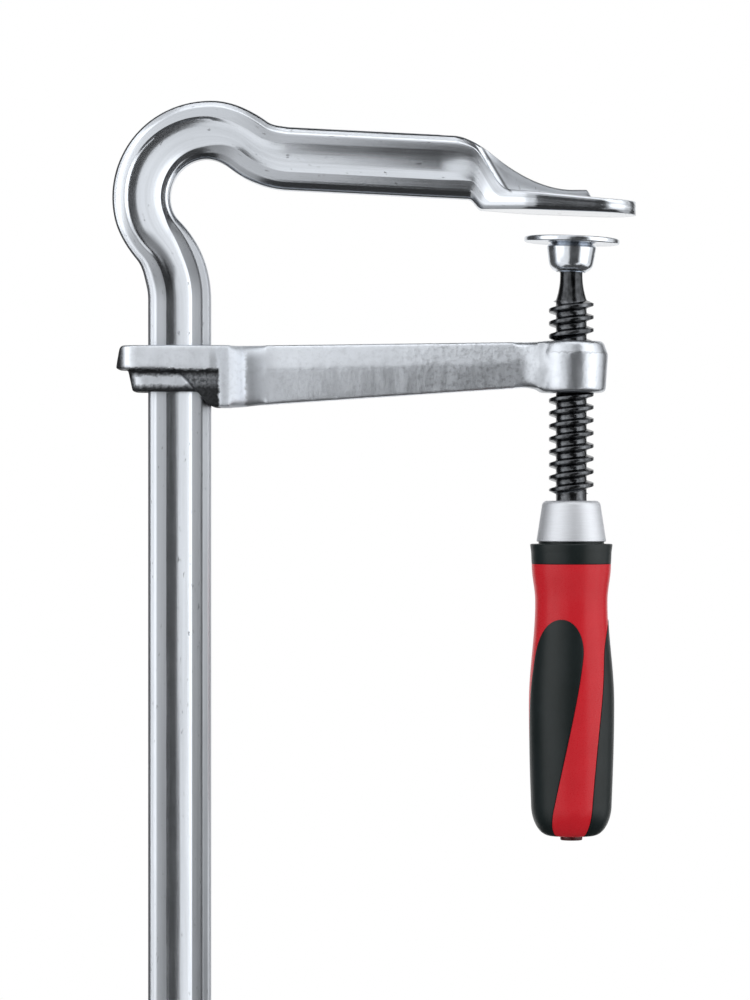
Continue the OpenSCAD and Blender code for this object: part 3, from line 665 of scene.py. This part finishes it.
def rail_section():
    """Closed outline of the bar: (across from outer to inner edge, front to back)."""
    edge, land, lip = 2.2, 1.6, 0.2
    radius = ((GROOVE_W / 2) ** 2 + GROOVE_D ** 2) / (2 * GROOVE_D)
    half_angle = degrees(asin(GROOVE_W / 2 / radius))
    middle = RAIL_T / 2 - GROOVE_D + radius
    hollow = arc((0, middle), radius, -90 + half_angle, -90 - half_angle, 12)
    shares = [0.28 + 0.06 * i for i in range(8)]
    roof = [(-mix(FACE_HALF, RAIL_W / 2, t), mix(RAIL_T / 2, FLAT_HALF, t), 0) for t in shares]
    front = [(RAIL_W / 2, FLAT_HALF, edge), (FACE_HALF, RAIL_T / 2, land), (GROOVE_W / 2, RAIL_T / 2, lip)]
    front += [(u, v, 0) for u, v in hollow[1:-1]]
    front += [(-GROOVE_W / 2, RAIL_T / 2, lip), (-FACE_HALF, RAIL_T / 2, land)]
    front += roof + [(-RAIL_W / 2, FLAT_HALF, edge)]
    back = [(u, -v, r) for u, v, r in reversed(front)]
    return rounded(front + back, closed=True, steps=3)


def jaw_line(x):
    return jaw_point.y + (x - jaw_point.x) * jaw_along.y / jaw_along.x


def bar_place(x, z, u):
    """Path length at a point of the bar and the direction in which u grows there."""
    here = Vector((x, z))
    if z <= heel_c.y + ON_EDGE / 2 and x < -REACH + 1:
        return z, Vector((1, 0))
    for centre, radius, way, start_s, start_angle, turn in BENDS:
        arm = here - centre
        angle = way * (atan2(arm.y, arm.x) - start_angle)
        angle = (angle + ANGLE_SLACK) % FULL_TURN - ANGLE_SLACK
        if abs(arm.length - radius - way * u) < ON_EDGE and angle <= turn + ANGLE_SLACK:
            return start_s + radius * angle, way * arm.normalized()
    return jaw_s + (here - jaw_point).dot(jaw_along), -jaw_normal


# Edges of bevel and groove across the bar: straight, in the main bend, and along the jaw
STRAIGHT_KNOTS = (-RAIL_W / 2, -FACE_HALF, -GROOVE_W / 2, -2.6, 0.0, 2.6,
                  GROOVE_W / 2, FACE_HALF, RAIL_W / 2)
BEND_KNOTS = (-9.05, -7.0, -5.0, -4.3, -1.0, 3.6, 6.15, 7.85, 9.05)
JAW_KNOTS = (-9.9, -7.4, -4.8, -3.0, 0.5, 3.0, 4.3, 7.2, 9.8)
# How far the bent face sinks at each of these edges
BEND_SUNK = (0.0, 0.45, 0.0, -0.22, -0.60, -0.38, 0.0, 0.55, 0.0)
BEND_LEAD = 18.0
HEEL_LEAD = 10.0
# Bending squeezes the outer edge a little more where a bend meets the next one
SQUEEZE_LEN = 12.0
SQUEEZE_BEFORE = 1.5
HEEL_SQUEEZE = 0.7
THROAT_SQUEEZE = 0.9
# At the bend's top both edges of the groove lie nearer the middle
TOP_SHIFT = 1.1
TOP_INNER_SHIFT = 0.75
TOP_INNER_AT = 5.5
TOP_INNER_HALF = 4.5
TOP_INNER_FADE = 3.0
TOP_REACH = 26.0


def between(value, knots, targets):
    """The target at a value that lies among knots."""
    for i in range(len(knots) - 1):
        if value <= knots[i + 1] or i == len(knots) - 2:
            return mix(targets[i], targets[i + 1], (value - knots[i]) / (knots[i + 1] - knots[i]))


def forged_across(u, s):
    """Where a point across the bar lies after bending and forging, and how far its face sinks."""
    bent = ease((s - neck_s + HEEL_LEAD) / BEND_LEAD) * (1 - ease((s - throat_s + BEND_LEAD) / BEND_LEAD))
    flat = ease((s - throat_s) / BEND_LEAD)
    in_bend = between(u, STRAIGHT_KNOTS, BEND_KNOTS)
    in_jaw = between(u, STRAIGHT_KNOTS, JAW_KNOTS)
    moved = u + bent * (in_bend - u) + flat * (in_jaw - u)
    near_heel = 1 - ease(abs(s - neck_s + SQUEEZE_BEFORE) / SQUEEZE_LEN)
    near_throat = 1 - ease(abs(s - throat_s + SQUEEZE_BEFORE) / SQUEEZE_LEN)
    squeeze = (HEEL_SQUEEZE * near_heel + THROAT_SQUEEZE * near_throat) * clamped(-2 * u / RAIL_W)
    near_top = 1 - ease(abs(s - top_s) / TOP_REACH)
    shift = TOP_SHIFT * near_top * clamped(1 - abs(u + WALL_U) / WALL_U)
    inner_share = clamped((TOP_INNER_HALF - abs(u - TOP_INNER_AT)) / TOP_INNER_FADE)
    shift -= TOP_INNER_SHIFT * near_top * inner_share
    return moved + squeeze + shift, bent * between(u, STRAIGHT_KNOTS, BEND_SUNK)


# Fixed jaw: the bar is forged out into a plate with a central rib

FORGE_FROM = -JAW_BACK - 12.0
FADE_TO = -JAW_BACK + 1.5
FLARE_FROM = -JAW_BACK - 2.5
FLARE_TO = -JAW_BACK + 19.0
RIB_FROM = -JAW_BACK - 1.0
RIB_DROP = 2.5
RIB_POWER = 1.85
RIB_DRAFT = 0.05
RIB_EDGE = 1.0
RIB_FOOT = 0.6
SHOULDER_ROUND = 6.0
PLATE_LOW_EDGE = 1.3
PLATE_TOP_EDGE = 1.2
PLATE_GROW = 0.06
# How far past the jaw's back the forging of the bar's lower and upper edge runs
LOW_RUN = 1.6
HIGH_RUN = 10.5
HIGH_GAIN = 1.1
SINK_POWER = 1.6


def face_z(x):
    return -x * tan(JAW_TILT)


def plate_top(x):
    return face_z(x) + JAW_T + PLATE_GROW * max(0.0, JAW_FRONT / 2 - x)


def corner_in(x):
    k = clamped((x - JAW_FRONT + JAW_CORNER) / JAW_CORNER)
    return JAW_CORNER * (1 - sqrt(1 - k * k))


def plate_half(x):
    grown = ease((x - FLARE_FROM) / (FLARE_TO - FLARE_FROM))
    return mix(RAIL_T / 2, JAW_W / 2, grown) - corner_in(x)


def bar_top(x):
    return jaw_line(x) + RAIL_W / 2 / jaw_along.x


def rib_top(x):
    """Height of the crest: a round shoulder, a hollow fall, a level run and a drop to the plate."""
    fall = (1 - min(1.0, (x - RIB_FROM) / -RIB_FROM)) ** RIB_POWER
    hollow = mix(RIB_H, bar_top(RIB_FROM), fall)
    close = max(0.0, 1 - abs(bar_top(x) - hollow) / SHOULDER_ROUND)
    crest = min(bar_top(x), hollow) - SHOULDER_ROUND / 4 * close ** 2
    return mix(max(crest, plate_top(x)), plate_top(x), ease((x - RIB_FRONT) / RIB_DROP))


def plate_point(x, u, v):
    """Where a point of the bar's section ends up on the plate: (half depth, height)."""
    side, low, high = plate_half(x), face_z(x), plate_top(x)
    low_edge = min(PLATE_LOW_EDGE, side / 2)
    top_edge = min(PLATE_TOP_EDGE, side / 2)
    widest_share = 0.9
    crest_half = min(RIB_HALF, (side - top_edge) * widest_share)
    crest = max(high, rib_top(x))
    if u > RAIL_W / 2 - ON_EDGE:
        return v / FLAT_HALF * (side - low_edge), low
    if u > FACE_HALF:
        a = pi / 2 * (RAIL_W / 2 - u) / BEVEL_W
        return side - low_edge * (1 - sin(a)), low + low_edge * (1 - cos(a))
    if u > -FACE_HALF:
        return side, mix(low + low_edge, high - top_edge, (FACE_HALF - u) / (2 * FACE_HALF))
    if u < -RAIL_W / 2 + ON_EDGE:
        return v / FLAT_HALF * (crest_half - RIB_EDGE), crest
    up = (-FACE_HALF - u) / BEVEL_W
    # Shares of the bevel that become the plate's round edge, its shelf and the rib's side
    round_share, shelf_share, side_share = 0.3, 0.42, 0.76
    inward_power, upward_power = 3, 1.3
    if up < round_share:
        a = pi / 2 * up / round_share
        return side - top_edge * (1 - cos(a)), high - top_edge * (1 - sin(a))
    foot_half = min(side - top_edge, crest_half + RIB_FOOT + RIB_DRAFT * (crest - high))
    rib_edge = min(RIB_EDGE, (crest - high) / 2)
    if up < shelf_share:
        return mix(side - top_edge, foot_half, (up - round_share) / (shelf_share - round_share)), high
    if up < side_share:
        rise = (up - shelf_share) / (side_share - shelf_share)
        inward = 1 - (1 - rise) ** inward_power
        return mix(foot_half, crest_half, inward), mix(high, crest - rib_edge, rise ** upward_power)
    a = pi / 2 * (up - side_share) / (1 - side_share)
    return crest_half - RIB_EDGE * (1 - cos(a)), crest - rib_edge * (1 - sin(a))


def jaw_place(x, u, v):
    """A point of the section carried along the jaw: the lower edge is forged down first."""
    share = (RAIL_W / 2 - u) / RAIL_W
    start = mix(FLARE_FROM, RIB_FROM, share)
    end = -JAW_BACK + mix(LOW_RUN, HIGH_RUN, min(1.0, HIGH_GAIN * share))
    forged = ease((x - start) / (end - start))
    depth, height = plate_point(x, u, abs(v))
    # The groove runs out, and the upper half of the bar sinks with the crest
    bar_y = abs(v)
    if abs(u) < GROOVE_W / 2:
        bar_y = mix(bar_y, RAIL_T / 2, ease((x - FORGE_FROM) / (FADE_TO - FORGE_FROM)))
    bar_z = jaw_line(x) - u / jaw_along.x - (bar_top(x) - rib_top(x)) * share ** SINK_POWER
    return Vector((x, copysign(mix(bar_y, depth, forged), v), mix(bar_z, height, forged))) * MM


def jaw_stations():
    """Places along the jaw at which its section is drawn, closer together round the tip."""
    stations = steps_between(FORGE_FROM, FLARE_FROM, 12)
    stations += steps_between(FLARE_FROM, FLARE_TO, 40)
    stations += steps_between(FLARE_TO, RIB_FRONT, 12)
    stations += steps_between(RIB_FRONT, RIB_FRONT + RIB_DROP, 8)
    turns = [0.0] + steps_between(0.0, pi / 2, 12)
    return stations + [JAW_FRONT - JAW_CORNER * (1 - sin(turn)) for turn in turns]


def extrude_by(x, z):
    """Draws the selected ring out in the plane of the bends."""
    ops.mesh.extrude_edges_move(TRANSFORM_OT_translate={"value": (x * MM, 0, z * MM)})


def section_layers(mesh):
    """The stored places of a point: across the bar, through it, and on its path."""
    layers = mesh.verts.layers
    return layers.float["section_u"], layers.float["section_v"], layers.float_vector["bar_path"]


def make_rail(material):
    """The bar is drawn as a section, spun round its bends and forged into the jaw."""
    start_z = RAIL_LOW_Z + END_CHAMFER
    section = rail_section()
    piece = draw_line("rail_bar", [Vector((RAIL_X + u, -v, start_z)) * MM for u, v in section], closed=True)
    stop_editing()
    for name in ("section_u", "section_v"):
        piece.data.attributes.new(name, "FLOAT", "POINT")
    piece.data.attributes.new("bar_path", "FLOAT_VECTOR", "POINT")
    for vertex in piece.data.vertices:
        piece.data.attributes["section_u"].data[vertex.index].value = vertex.co.x / MM - RAIL_X
        piece.data.attributes["section_v"].data[vertex.index].value = vertex.co.y / MM
    edit(piece)
    ops.mesh.select_all(action="SELECT")
    extrude_by(0, heel_c.y - start_z)
    for centre, _, way, _, _, turn in BENDS:
        steps = ceil(degrees(turn) / RING_DEGREES)
        middle = Vector((centre.x, 0, centre.y)) * MM
        ops.mesh.spin(steps=steps, angle=turn, center=middle, axis=(0, way, 0))
    extrude_by(*(jaw_along * ((FORGE_FROM - jaw_point.x) / jaw_along.x)))

    # Bending widens the groove, and forging narrows it again along the jaw
    mesh = bmesh.from_edit_mesh(piece.data)
    u_of, v_of, path_of = section_layers(mesh)
    for vertex in mesh.verts:
        u = vertex[u_of]
        s, across = bar_place(vertex.co.x / MM, vertex.co.z / MM, u)
        moved, sunk = forged_across(u, s)
        vertex.co += Vector((across.x, 0, across.y)) * (moved - u) * MM
        vertex.co.y -= copysign(sunk * MM, vertex.co.y)
        vertex[path_of] = Vector((u, vertex[v_of], s)) * MM
    bmesh.update_edit_mesh(piece.data)

    # The jaw grows station by station from the bar's last ring
    for x in jaw_stations():
        ops.mesh.extrude_edges_move()
        mesh = bmesh.from_edit_mesh(piece.data)
        u_of, v_of, path_of = section_layers(mesh)
        grown = ease((x - FORGE_FROM) / (FADE_TO - FORGE_FROM))
        for vertex in mesh.verts:
            if vertex.select:
                u = vertex[u_of]
                bar_u = mix(between(u, STRAIGHT_KNOTS, JAW_KNOTS), u, grown)
                vertex.co = jaw_place(x, max(-RAIL_W / 2, min(RAIL_W / 2, bar_u)), vertex[v_of])
                vertex[path_of] = Vector((u, vertex[v_of], jaw_s + x - jaw_point.x)) * MM
        bmesh.update_edit_mesh(piece.data)
    ops.mesh.edge_face_add()

    # Chamfer and face at the lower end
    select_where(piece, lambda vertex: vertex.co.z < (start_z + ON_EDGE / 2) * MM)
    extrude_by(0, -END_CHAMFER)
    shrink = (1 - 2 * END_CHAMFER / RAIL_W, 1 - 2 * END_CHAMFER / RAIL_T, 1)
    ops.transform.resize(value=shrink, center_override=(RAIL_X * MM, 0, RAIL_LOW_Z * MM))
    ops.mesh.edge_face_add()
    clean(piece)
    shade(piece, 28)
    finished(piece, "frame", "bright_steel", material, "rail")


def make_stop_pin(material):
    """Slotted spring pin: a chamfered tube that doesn't quite close."""
    outer, bore, edge, slot = 2.0, 1.1, 0.5, radians(24)
    half = (PIN_BOX[1].y - PIN_BOX[0].y) / 2 / MM
    outline = [(bore, -half), (outer - edge, -half), (outer, -half + 2 * edge),
               (outer, half - 2 * edge), (outer - edge, half), (bore, half)]
    piece = turned("rail_stop_pin", outline, closed=True, centre=(RAIL_X, 0, PIN_Z),
                   out=(sin(slot / 2), 0, -cos(slot / 2)), along=(0, 1, 0),
                   steps=60, turn=FULL_TURN - slot)
    close_up(piece)
    shade(piece)
    finished(piece, "frame", "spring_steel", material, "stop_pin")


# Sliding arm

def soften(piece, stretch, repeat):
    """Smooths a stretch of the arm."""
    left, right = stretch
    edit(piece)
    select_where(piece, lambda vertex: left * MM < vertex.co.x < right * MM)
    ops.mesh.vertices_smooth(factor=0.5, repeat=repeat)


def make_arm(material):
    """The forging: its solid's edges are melted into one another and smoothed."""
    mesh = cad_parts["sliding_arm"].data.copy()
    mesh.name = "arm_forging"
    piece = bpy.data.objects.new("arm_forging", mesh)
    bpy.context.scene.collection.objects.link(piece)
    clean(piece, 0.01)
    modify(piece, "REMESH", mode="VOXEL", voxel_size=0.42 * MM)
    modify(piece, "SMOOTH", factor=0.5, iterations=18)
    soften(piece, CHEEK_FILLET, repeat=90)
    soften(piece, BOSS_FILLET, repeat=60)
    shade(piece, 60)
    finished(piece, "arm", "forged_steel", material, "sliding_arm")


# Screw

def thread_cutter(core_r, top_z, low_z):
    """The thread's groove as a helical bar, with a mouth that rounds the crests."""
    crest_r = THREAD_D / 2
    depth = crest_r - core_r
    flank = tan(radians(15))
    root_half = PITCH / 4 - flank * depth / 2
    crest_half = root_half + flank * depth
    mouth, soft, beyond = 0.5, 0.3, 1.2
    half = [(core_r, root_half * 0.7), (core_r + 0.2, root_half + 0.1), (crest_r - mouth, crest_half),
            (crest_r - mouth / 4, crest_half + soft / 2), (crest_r + 0.02, crest_half + soft + 0.1),
            (crest_r + beyond, crest_half + soft + 0.1)]
    outline = half + [(r, -z) for r, z in reversed(half)]
    # The crest passes the right side at this height
    crest_z = -60.2
    first = crest_z + PITCH / 2 - PITCH * ceil((crest_z - low_z) / PITCH + 1)
    piece = draw_line("thread_cutter", [Vector((r, 0, first + z)) * MM for r, z in outline], closed=True)
    turns = ceil((top_z - first) / PITCH) + 1
    modify(piece, "SCREW", axis="Z", angle=FULL_TURN, screw_offset=PITCH * MM, iterations=turns,
           steps=72, render_steps=72, use_merge_vertices=False)
    close_up(piece)
    return piece


def make_screw(material):
    """Ball, flared neck, cut thread, undercut and tang in one turned piece."""
    ball_r, slim_r, core_r = BALL_D / 2, NECK_D / 2, CORE_D / 2
    meet = degrees(asin(sqrt(ball_r ** 2 - slim_r ** 2) / ball_r))
    thread_top = CUP_LOW_Z - 8.6
    thread_low = FERRULE_TOP_Z + 2.0
    tang_r, tang_edge, run_out = TANG_D / 2, 1.0, 1.0
    shares = [0.0] + steps_between(0.0, 1.0, 10)
    flare = [(mix(slim_r, core_r, t * t), mix(CUP_LOW_Z - 1, thread_top, t)) for t in shares]
    outline = arc((0, BALL_Z), ball_r, 90, -meet, 20) + flare
    outline += [(THREAD_D / 2, thread_top - run_out), (THREAD_D / 2, thread_low + run_out),
                (core_r, thread_low), (core_r, FERRULE_TOP_Z), (tang_r, FERRULE_TOP_Z),
                (tang_r, TANG_LOW_Z + tang_edge), (tang_r - tang_edge, TANG_LOW_Z), (0, TANG_LOW_Z)]
    piece = turned("screw_thread", outline, steps=72)
    cut_out(piece, thread_cutter(core_r, thread_top, thread_low))
    shade(piece, 35)
    finished(piece, "screw", "black_steel", material, "spindle")


# Pressure plate: turned pieces about the ball's centre, leaning with the plate

PLATE_OUT = (cos(PLATE_TILT), 0, -sin(PLATE_TILT))
PLATE_UP = (sin(PLATE_TILT), 0, cos(PLATE_TILT))
DISC_D = 29.6
DISC_T = 1.7
DISC_UP = 6.11
RIVET_D = 7.0
CUP_D = 15.4
CUP_LOW = CUP_LOW_Z - BALL_Z + 0.06


def make_plate(material):
    """Cup with its rivet, and the disc that the rivet holds."""
    leaning = {"closed": True, "centre": (0, 0, BALL_Z), "out": PLATE_OUT, "along": PLATE_UP}
    top, slope = DISC_UP - DISC_T, 1.2
    outer, rivet_r, rivet_top = CUP_D / 2, RIVET_D / 2, DISC_UP - 0.3
    mouth_r, lip_r, seat_r, seat_top = 4.1, 4.6, 4.31, 4.4
    cup = rounded([(mouth_r, CUP_LOW + 0.6, 0), (lip_r, CUP_LOW, 0.3), (outer - slope, CUP_LOW, 3.4),
                   (outer, top - slope, 0.4), (outer - slope, top, 0.3), (rivet_r, top, 0),
                   (rivet_r, rivet_top, 0.25), (0, rivet_top, 0), (0, seat_top, 0)], steps=6)
    seat = arc((0, 0), seat_r, 90, -25, 14) + [(mouth_r, CUP_LOW + 1.6)]
    piece = turned("plate_cup", cup + seat, **leaning)
    finished(piece, "plate", "plated_steel", material, "socket_cup")

    edge, bore_edge = 0.5, 0.15
    bore = rivet_r + FIT_GAP
    disc = rounded([(bore, top, 0), (DISC_D / 2, top, edge), (DISC_D / 2, DISC_UP, edge),
                    (bore, DISC_UP, bore_edge)], closed=True, steps=6)
    piece = turned("plate_disc", disc, steps=128, **leaning)
    finished(piece, "plate", "plated_steel", material, "pressure_disc")


# Handle

HANDLE_TOP_D, WAIST_D, BELLY_D, TAIL_D = 24.7, 22.5, 26.4, 24.8
WAIST_AT, BELLY_AT, END_LEN, END_FLAT_D = 11.7, 43.5, 10.0, 13.0
NUB_D, NUB_H = 6.9, 1.4
HANDLE_LEN = GRIP_LOW_Z - HANDLE_LOW_Z - NUB_H
TAIL_AT = HANDLE_LEN - END_LEN
SPIGOT_D = 17.0
PANEL_FROM, PANEL_TIP = 17.0, 12.0
PANEL_TURN, PANEL_TWIST = -18.0, 48.0
PANEL_HALF, PANEL_END_HALF = 41.0, 27.0
PANEL_DEPTH, PANEL_PROUD = 1.6, 0.15


def handle_r(s):
    """Handle's radius at a depth below the grip ring."""
    if s < WAIST_AT:
        return mix(HANDLE_TOP_D, WAIST_D, ease(s / WAIST_AT)) / 2
    if s < BELLY_AT:
        return mix(WAIST_D, BELLY_D, ease((s - WAIST_AT) / (BELLY_AT - WAIST_AT))) / 2
    if s < TAIL_AT:
        return mix(BELLY_D, TAIL_D, 1 - cos(pi / 2 * (s - BELLY_AT) / (TAIL_AT - BELLY_AT))) / 2
    k = clamped((s - TAIL_AT) / END_LEN)
    return mix(END_FLAT_D, TAIL_D, sqrt(1 - k * k)) / 2


def handle_depths(start, body_steps=60, end_steps=16):
    """Depths at which the handle is drawn, closer together round its end."""
    body = [start] + steps_between(start, TAIL_AT, body_steps)
    return body + [TAIL_AT + END_LEN * sin(a) for a in steps_between(0.0, pi / 2, end_steps)]


def panel_width(s):
    """Half angle of a soft panel at a depth, in degrees."""
    tip = clamped((s - PANEL_FROM) / PANEL_TIP)
    rest = clamped((s - PANEL_FROM - PANEL_TIP) / (HANDLE_LEN - PANEL_FROM - PANEL_TIP))
    return mix(PANEL_HALF, PANEL_END_HALF, rest * rest) * sqrt(1 - (1 - tip) ** 2)


def panel_middle(s):
    return PANEL_TURN - 90 - PANEL_TWIST * (s - PANEL_FROM) / (HANDLE_LEN - PANEL_FROM)


def panel_piece(name, number, slack, proud, depth):
    """A soft panel: a grid laid on the handle, thickened inwards."""
    across, down = 28, 80
    body_share, spread, tip_slack = 0.8, 1.7, 0.2
    piece = added(ops.mesh.primitive_grid_add, name, x_subdivisions=across, y_subdivisions=down, size=2)
    edit(piece)
    mesh = bmesh.from_edit_mesh(piece.data)
    shift = 360 / PANEL_COUNT * number
    start = PANEL_FROM + slack * tip_slack
    for vertex in mesh.verts:
        t = (1 - vertex.co.y) / 2
        if t < body_share:
            s = mix(start, TAIL_AT, (t / body_share) ** spread)
        else:
            s = TAIL_AT + END_LEN * sin(pi / 2 * (t - body_share) / (1 - body_share))
        angle = radians(panel_middle(s) + shift + vertex.co.x * max(0.0, panel_width(s) - slack))
        r = handle_r(s) + proud
        vertex.co = Vector((r * cos(angle), r * sin(angle), GRIP_LOW_Z - s)) * MM
    bmesh.update_edit_mesh(piece.data)
    clean(piece, 0.02)
    modify(piece, "SOLIDIFY", thickness=depth * MM, offset=-1.0, use_even_offset=False)
    return piece


def make_handle(red, black, satin):
    """Red body with three pockets, the soft panels in them, the grip ring and the ferrule."""
    spigot_r = SPIGOT_D / 2
    outline = [(0, FERRULE_LOW_Z), (spigot_r, FERRULE_LOW_Z)]
    outline += [(spigot_r, GRIP_LOW_Z), (handle_r(0), GRIP_LOW_Z)]
    outline += [(handle_r(s), GRIP_LOW_Z - s) for s in handle_depths(start=0.3)]
    end_z = GRIP_LOW_Z - HANDLE_LEN
    outline += rounded([(END_FLAT_D / 2, end_z, 0), (NUB_D / 2, end_z, 0), (NUB_D / 2, end_z - NUB_H, 0.3),
                        (0, end_z - NUB_H, 0)])[1:]
    body = turned("handle_body", outline, steps=144)
    for i in range(PANEL_COUNT):
        cut_out(body, panel_piece("pocket", i, slack=-0.4, proud=1.0, depth=PANEL_DEPTH + 1.1))
    shade(body, 30)
    finished(body, "screw", "red_plastic", red, "handle_core")

    for i in range(PANEL_COUNT):
        panel = panel_piece(f"handle_panel_{i + 1}", i, slack=0.25, proud=PANEL_PROUD, depth=PANEL_DEPTH)
        modify(panel, "BEVEL", width=0.3 * MM, segments=3, limit_method="ANGLE",
               angle_limit=radians(50))
        shade(panel, 40)
        finished(panel, "screw", "black_rubber", black, f"grip_panel_{i + 1}")

    bore, top, flare_h = spigot_r + FIT_GAP, FERRULE_LOW_Z - 0.7, 2.6
    low_r, waist_r, top_r, step_r = HANDLE_TOP_D / 2, 12.5, 12.85, 10.2
    ring = rounded([(bore, GRIP_LOW_Z, 0), (low_r, GRIP_LOW_Z, 0.3), (waist_r, top - flare_h, 3.0),
                    (top_r, top, 0.4), (step_r, top, 0.1), (step_r, FERRULE_LOW_Z, 0),
                    (bore, FERRULE_LOW_Z, 0)], closed=True)
    piece = turned("handle_grip_ring", ring, closed=True, steps=128)
    finished(piece, "screw", "black_rubber", black, "grip_collar")

    bore, low_r, top_r = TANG_D / 2 + FIT_GAP, 10.85, 8.9
    cone = rounded([(bore, FERRULE_LOW_Z, 0), (low_r, FERRULE_LOW_Z, 0.3), (top_r, FERRULE_TOP_Z, 1.6),
                    (bore, FERRULE_TOP_Z, 0.2)], closed=True, steps=6)
    piece = turned("handle_ferrule", cone, closed=True, steps=128)
    finished(piece, "screw", "satin_aluminium", satin, "ferrule")


# Studio: floor, soft boxes, dark cards and camera, in metres

STUDIO_X = -0.06
AIM = Vector((STUDIO_X, 0, -0.09))
FLOOR_Z = -0.455
FLOOR_R = 1.6
WHITE = (1, 1, 1, 1)
# Cards between camera and clamp: x, z, width and height
FRONT_CARDS = {
    "card_front": (0.1075, -0.06, 0.425, 0.06),
    "card_low": (0.110, -0.19, 0.42, 0.20),
    "card_deep": (0.05, -0.37, 0.30, 0.16),
    "card_middle": (0.13, 0.045, 0.38, 0.15),
    "card_high": (0.18, 0.28, 0.28, 0.32),
    "card_corner": (-0.13, -0.26, 0.05, 0.14),
}
FRONT_CARD_Y = -0.42
FRONT_CARD_TONE = 0.04


def seen_rays(tree):
    """1 for rays that see the background itself: from the camera, in gloss and in glass."""
    rays = add(tree, "LightPath").outputs
    kinds = ("Camera", "Glossy", "Transmission")
    camera, glossy, glass = (Value(rays[f"Is {kind} Ray"]) for kind in kinds)
    return camera | glossy | glass


def make_world(ambient):
    world = bpy.data.worlds.new("studio")
    bpy.context.scene.world = world
    world.use_nodes = True
    tree = world.node_tree
    strength = seen_rays(tree).fit((0, 1), ambient, 1.0)
    join_all(tree.nodes["Background"], {"Color": WHITE, "Strength": strength})


def make_floor():
    """A round pale floor that keeps the shadow and fades to the background's white."""
    floor = added(ops.mesh.primitive_circle_add, "floor", vertices=96, radius=FLOOR_R, fill_type="NGON",
                  location=(STUDIO_X, 0, FLOOR_Z))
    pale = Finish("floor_white")
    away = pale.output("VectorMath", "Value", {"operation": "LENGTH"}, Vector=pale.place())
    glow = seen_rays(pale.tree) * away.fit((0.3, 1.1), 0.5, 0.75, smooth=True)
    pale.set(Base_Color=(0.55, 0.55, 0.55, 1), Roughness=1.0, Specular_IOR_Level=0.0,
             Emission_Color=WHITE, Emission_Strength=glow)
    paint(floor, pale.material)


def soft_box(name, azimuth, distance, height, width, tall, radiance):
    """A soft box that faces the clamp: azimuth 0 is the camera's side, positive to its right."""
    a = radians(azimuth)
    place = Vector((STUDIO_X + distance * sin(a), -distance * cos(a), height))
    light = added(ops.object.light_add, name, type="AREA", location=place)
    light.rotation_euler = (AIM - place).to_track_quat("-Z", "Y").to_euler()
    light.data.shape = "RECTANGLE"
    light.data.size = width
    light.data.size_y = tall
    light.data.energy = radiance * pi * width * tall
    light.visible_camera = False


def dark_card(name, place, facing, width, tall, tone):
    """A card of an even tone that shows only in reflections."""
    card = added(ops.mesh.primitive_plane_add, name, size=1, location=place)
    card.scale = (width, tall, 1)
    card.rotation_euler = Vector(facing).to_track_quat("Z", "Y").to_euler()
    even = Finish(name)
    even.set(Base_Color=(0, 0, 0, 1), Specular_IOR_Level=0.0, Emission_Color=(tone, tone, tone, 1),
             Emission_Strength=1.0)
    paint(card, even.material)
    for rays in ("camera", "diffuse", "shadow", "transmission"):
        setattr(card, f"visible_{rays}", False)


def make_camera():
    """The photograph's view: level, along +Y, with the clamp's jaw face above the middle."""
    distance, view_height, sensor = 1.3, 0.311, 36.0
    place = (-0.06105, -distance, -0.0891)
    camera = added(ops.object.camera_add, "Camera", location=place, rotation=(pi / 2, 0, 0))
    camera.data.sensor_width = sensor
    camera.data.lens = sensor * distance / view_height
    bpy.context.scene.camera = camera


def make_studio():
    bpy.context.scene.view_settings.view_transform = "Standard"
    make_world(ambient=0.70)
    make_floor()
    soft_box("soft_box_left", azimuth=-60, distance=1.5, height=0.15, width=1.35, tall=2.4, radiance=0.86)
    soft_box("soft_box_right", azimuth=68, distance=1.0, height=0.15, width=0.90, tall=2.0, radiance=1.02)
    soft_box("soft_box_top", azimuth=0, distance=0.5, height=1.5, width=1.2, tall=1.0, radiance=0.75)
    for name, (x, z, width, tall) in FRONT_CARDS.items():
        dark_card(name, (x, FRONT_CARD_Y, z), (0, 1, 0), width, tall, FRONT_CARD_TONE)
    # Flags beside, above and below the clamp, and a pale card low in front of it
    dark_card("flag_left", (-0.22, 0.127, 0.0), (1, 0, 0), width=0.30, tall=1.3, tone=0.08)
    dark_card("flag_right", (0.35, 0.33, 0.0), (-1, 0, 0), width=0.30, tall=1.3, tone=0.10)
    dark_card("flag_top", (STUDIO_X, 0.19, 0.40), (0, 0, -1), width=1.0, tall=0.52, tone=0.05)
    dark_card("flag_low", (0.14, 0.07, -0.40), (0, 0, 1), width=0.84, tall=0.9, tone=0.08)
    dark_card("card_low_front", (STUDIO_X, -1.2, -0.40), (0, 0, 1), width=3.0, tall=1.0, tone=1.1)
    make_camera()


# Build

spring = spring_steel()
make_rail(drawn_steel())
make_stop_pin(spring)
make_arm(forged_steel())
make_screw(black_oxide())
make_plate(plated_steel())
make_handle(red_plastic(), soft_black(), satin_aluminium())
paint(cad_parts["retaining_ring"], spring)
make_studio()
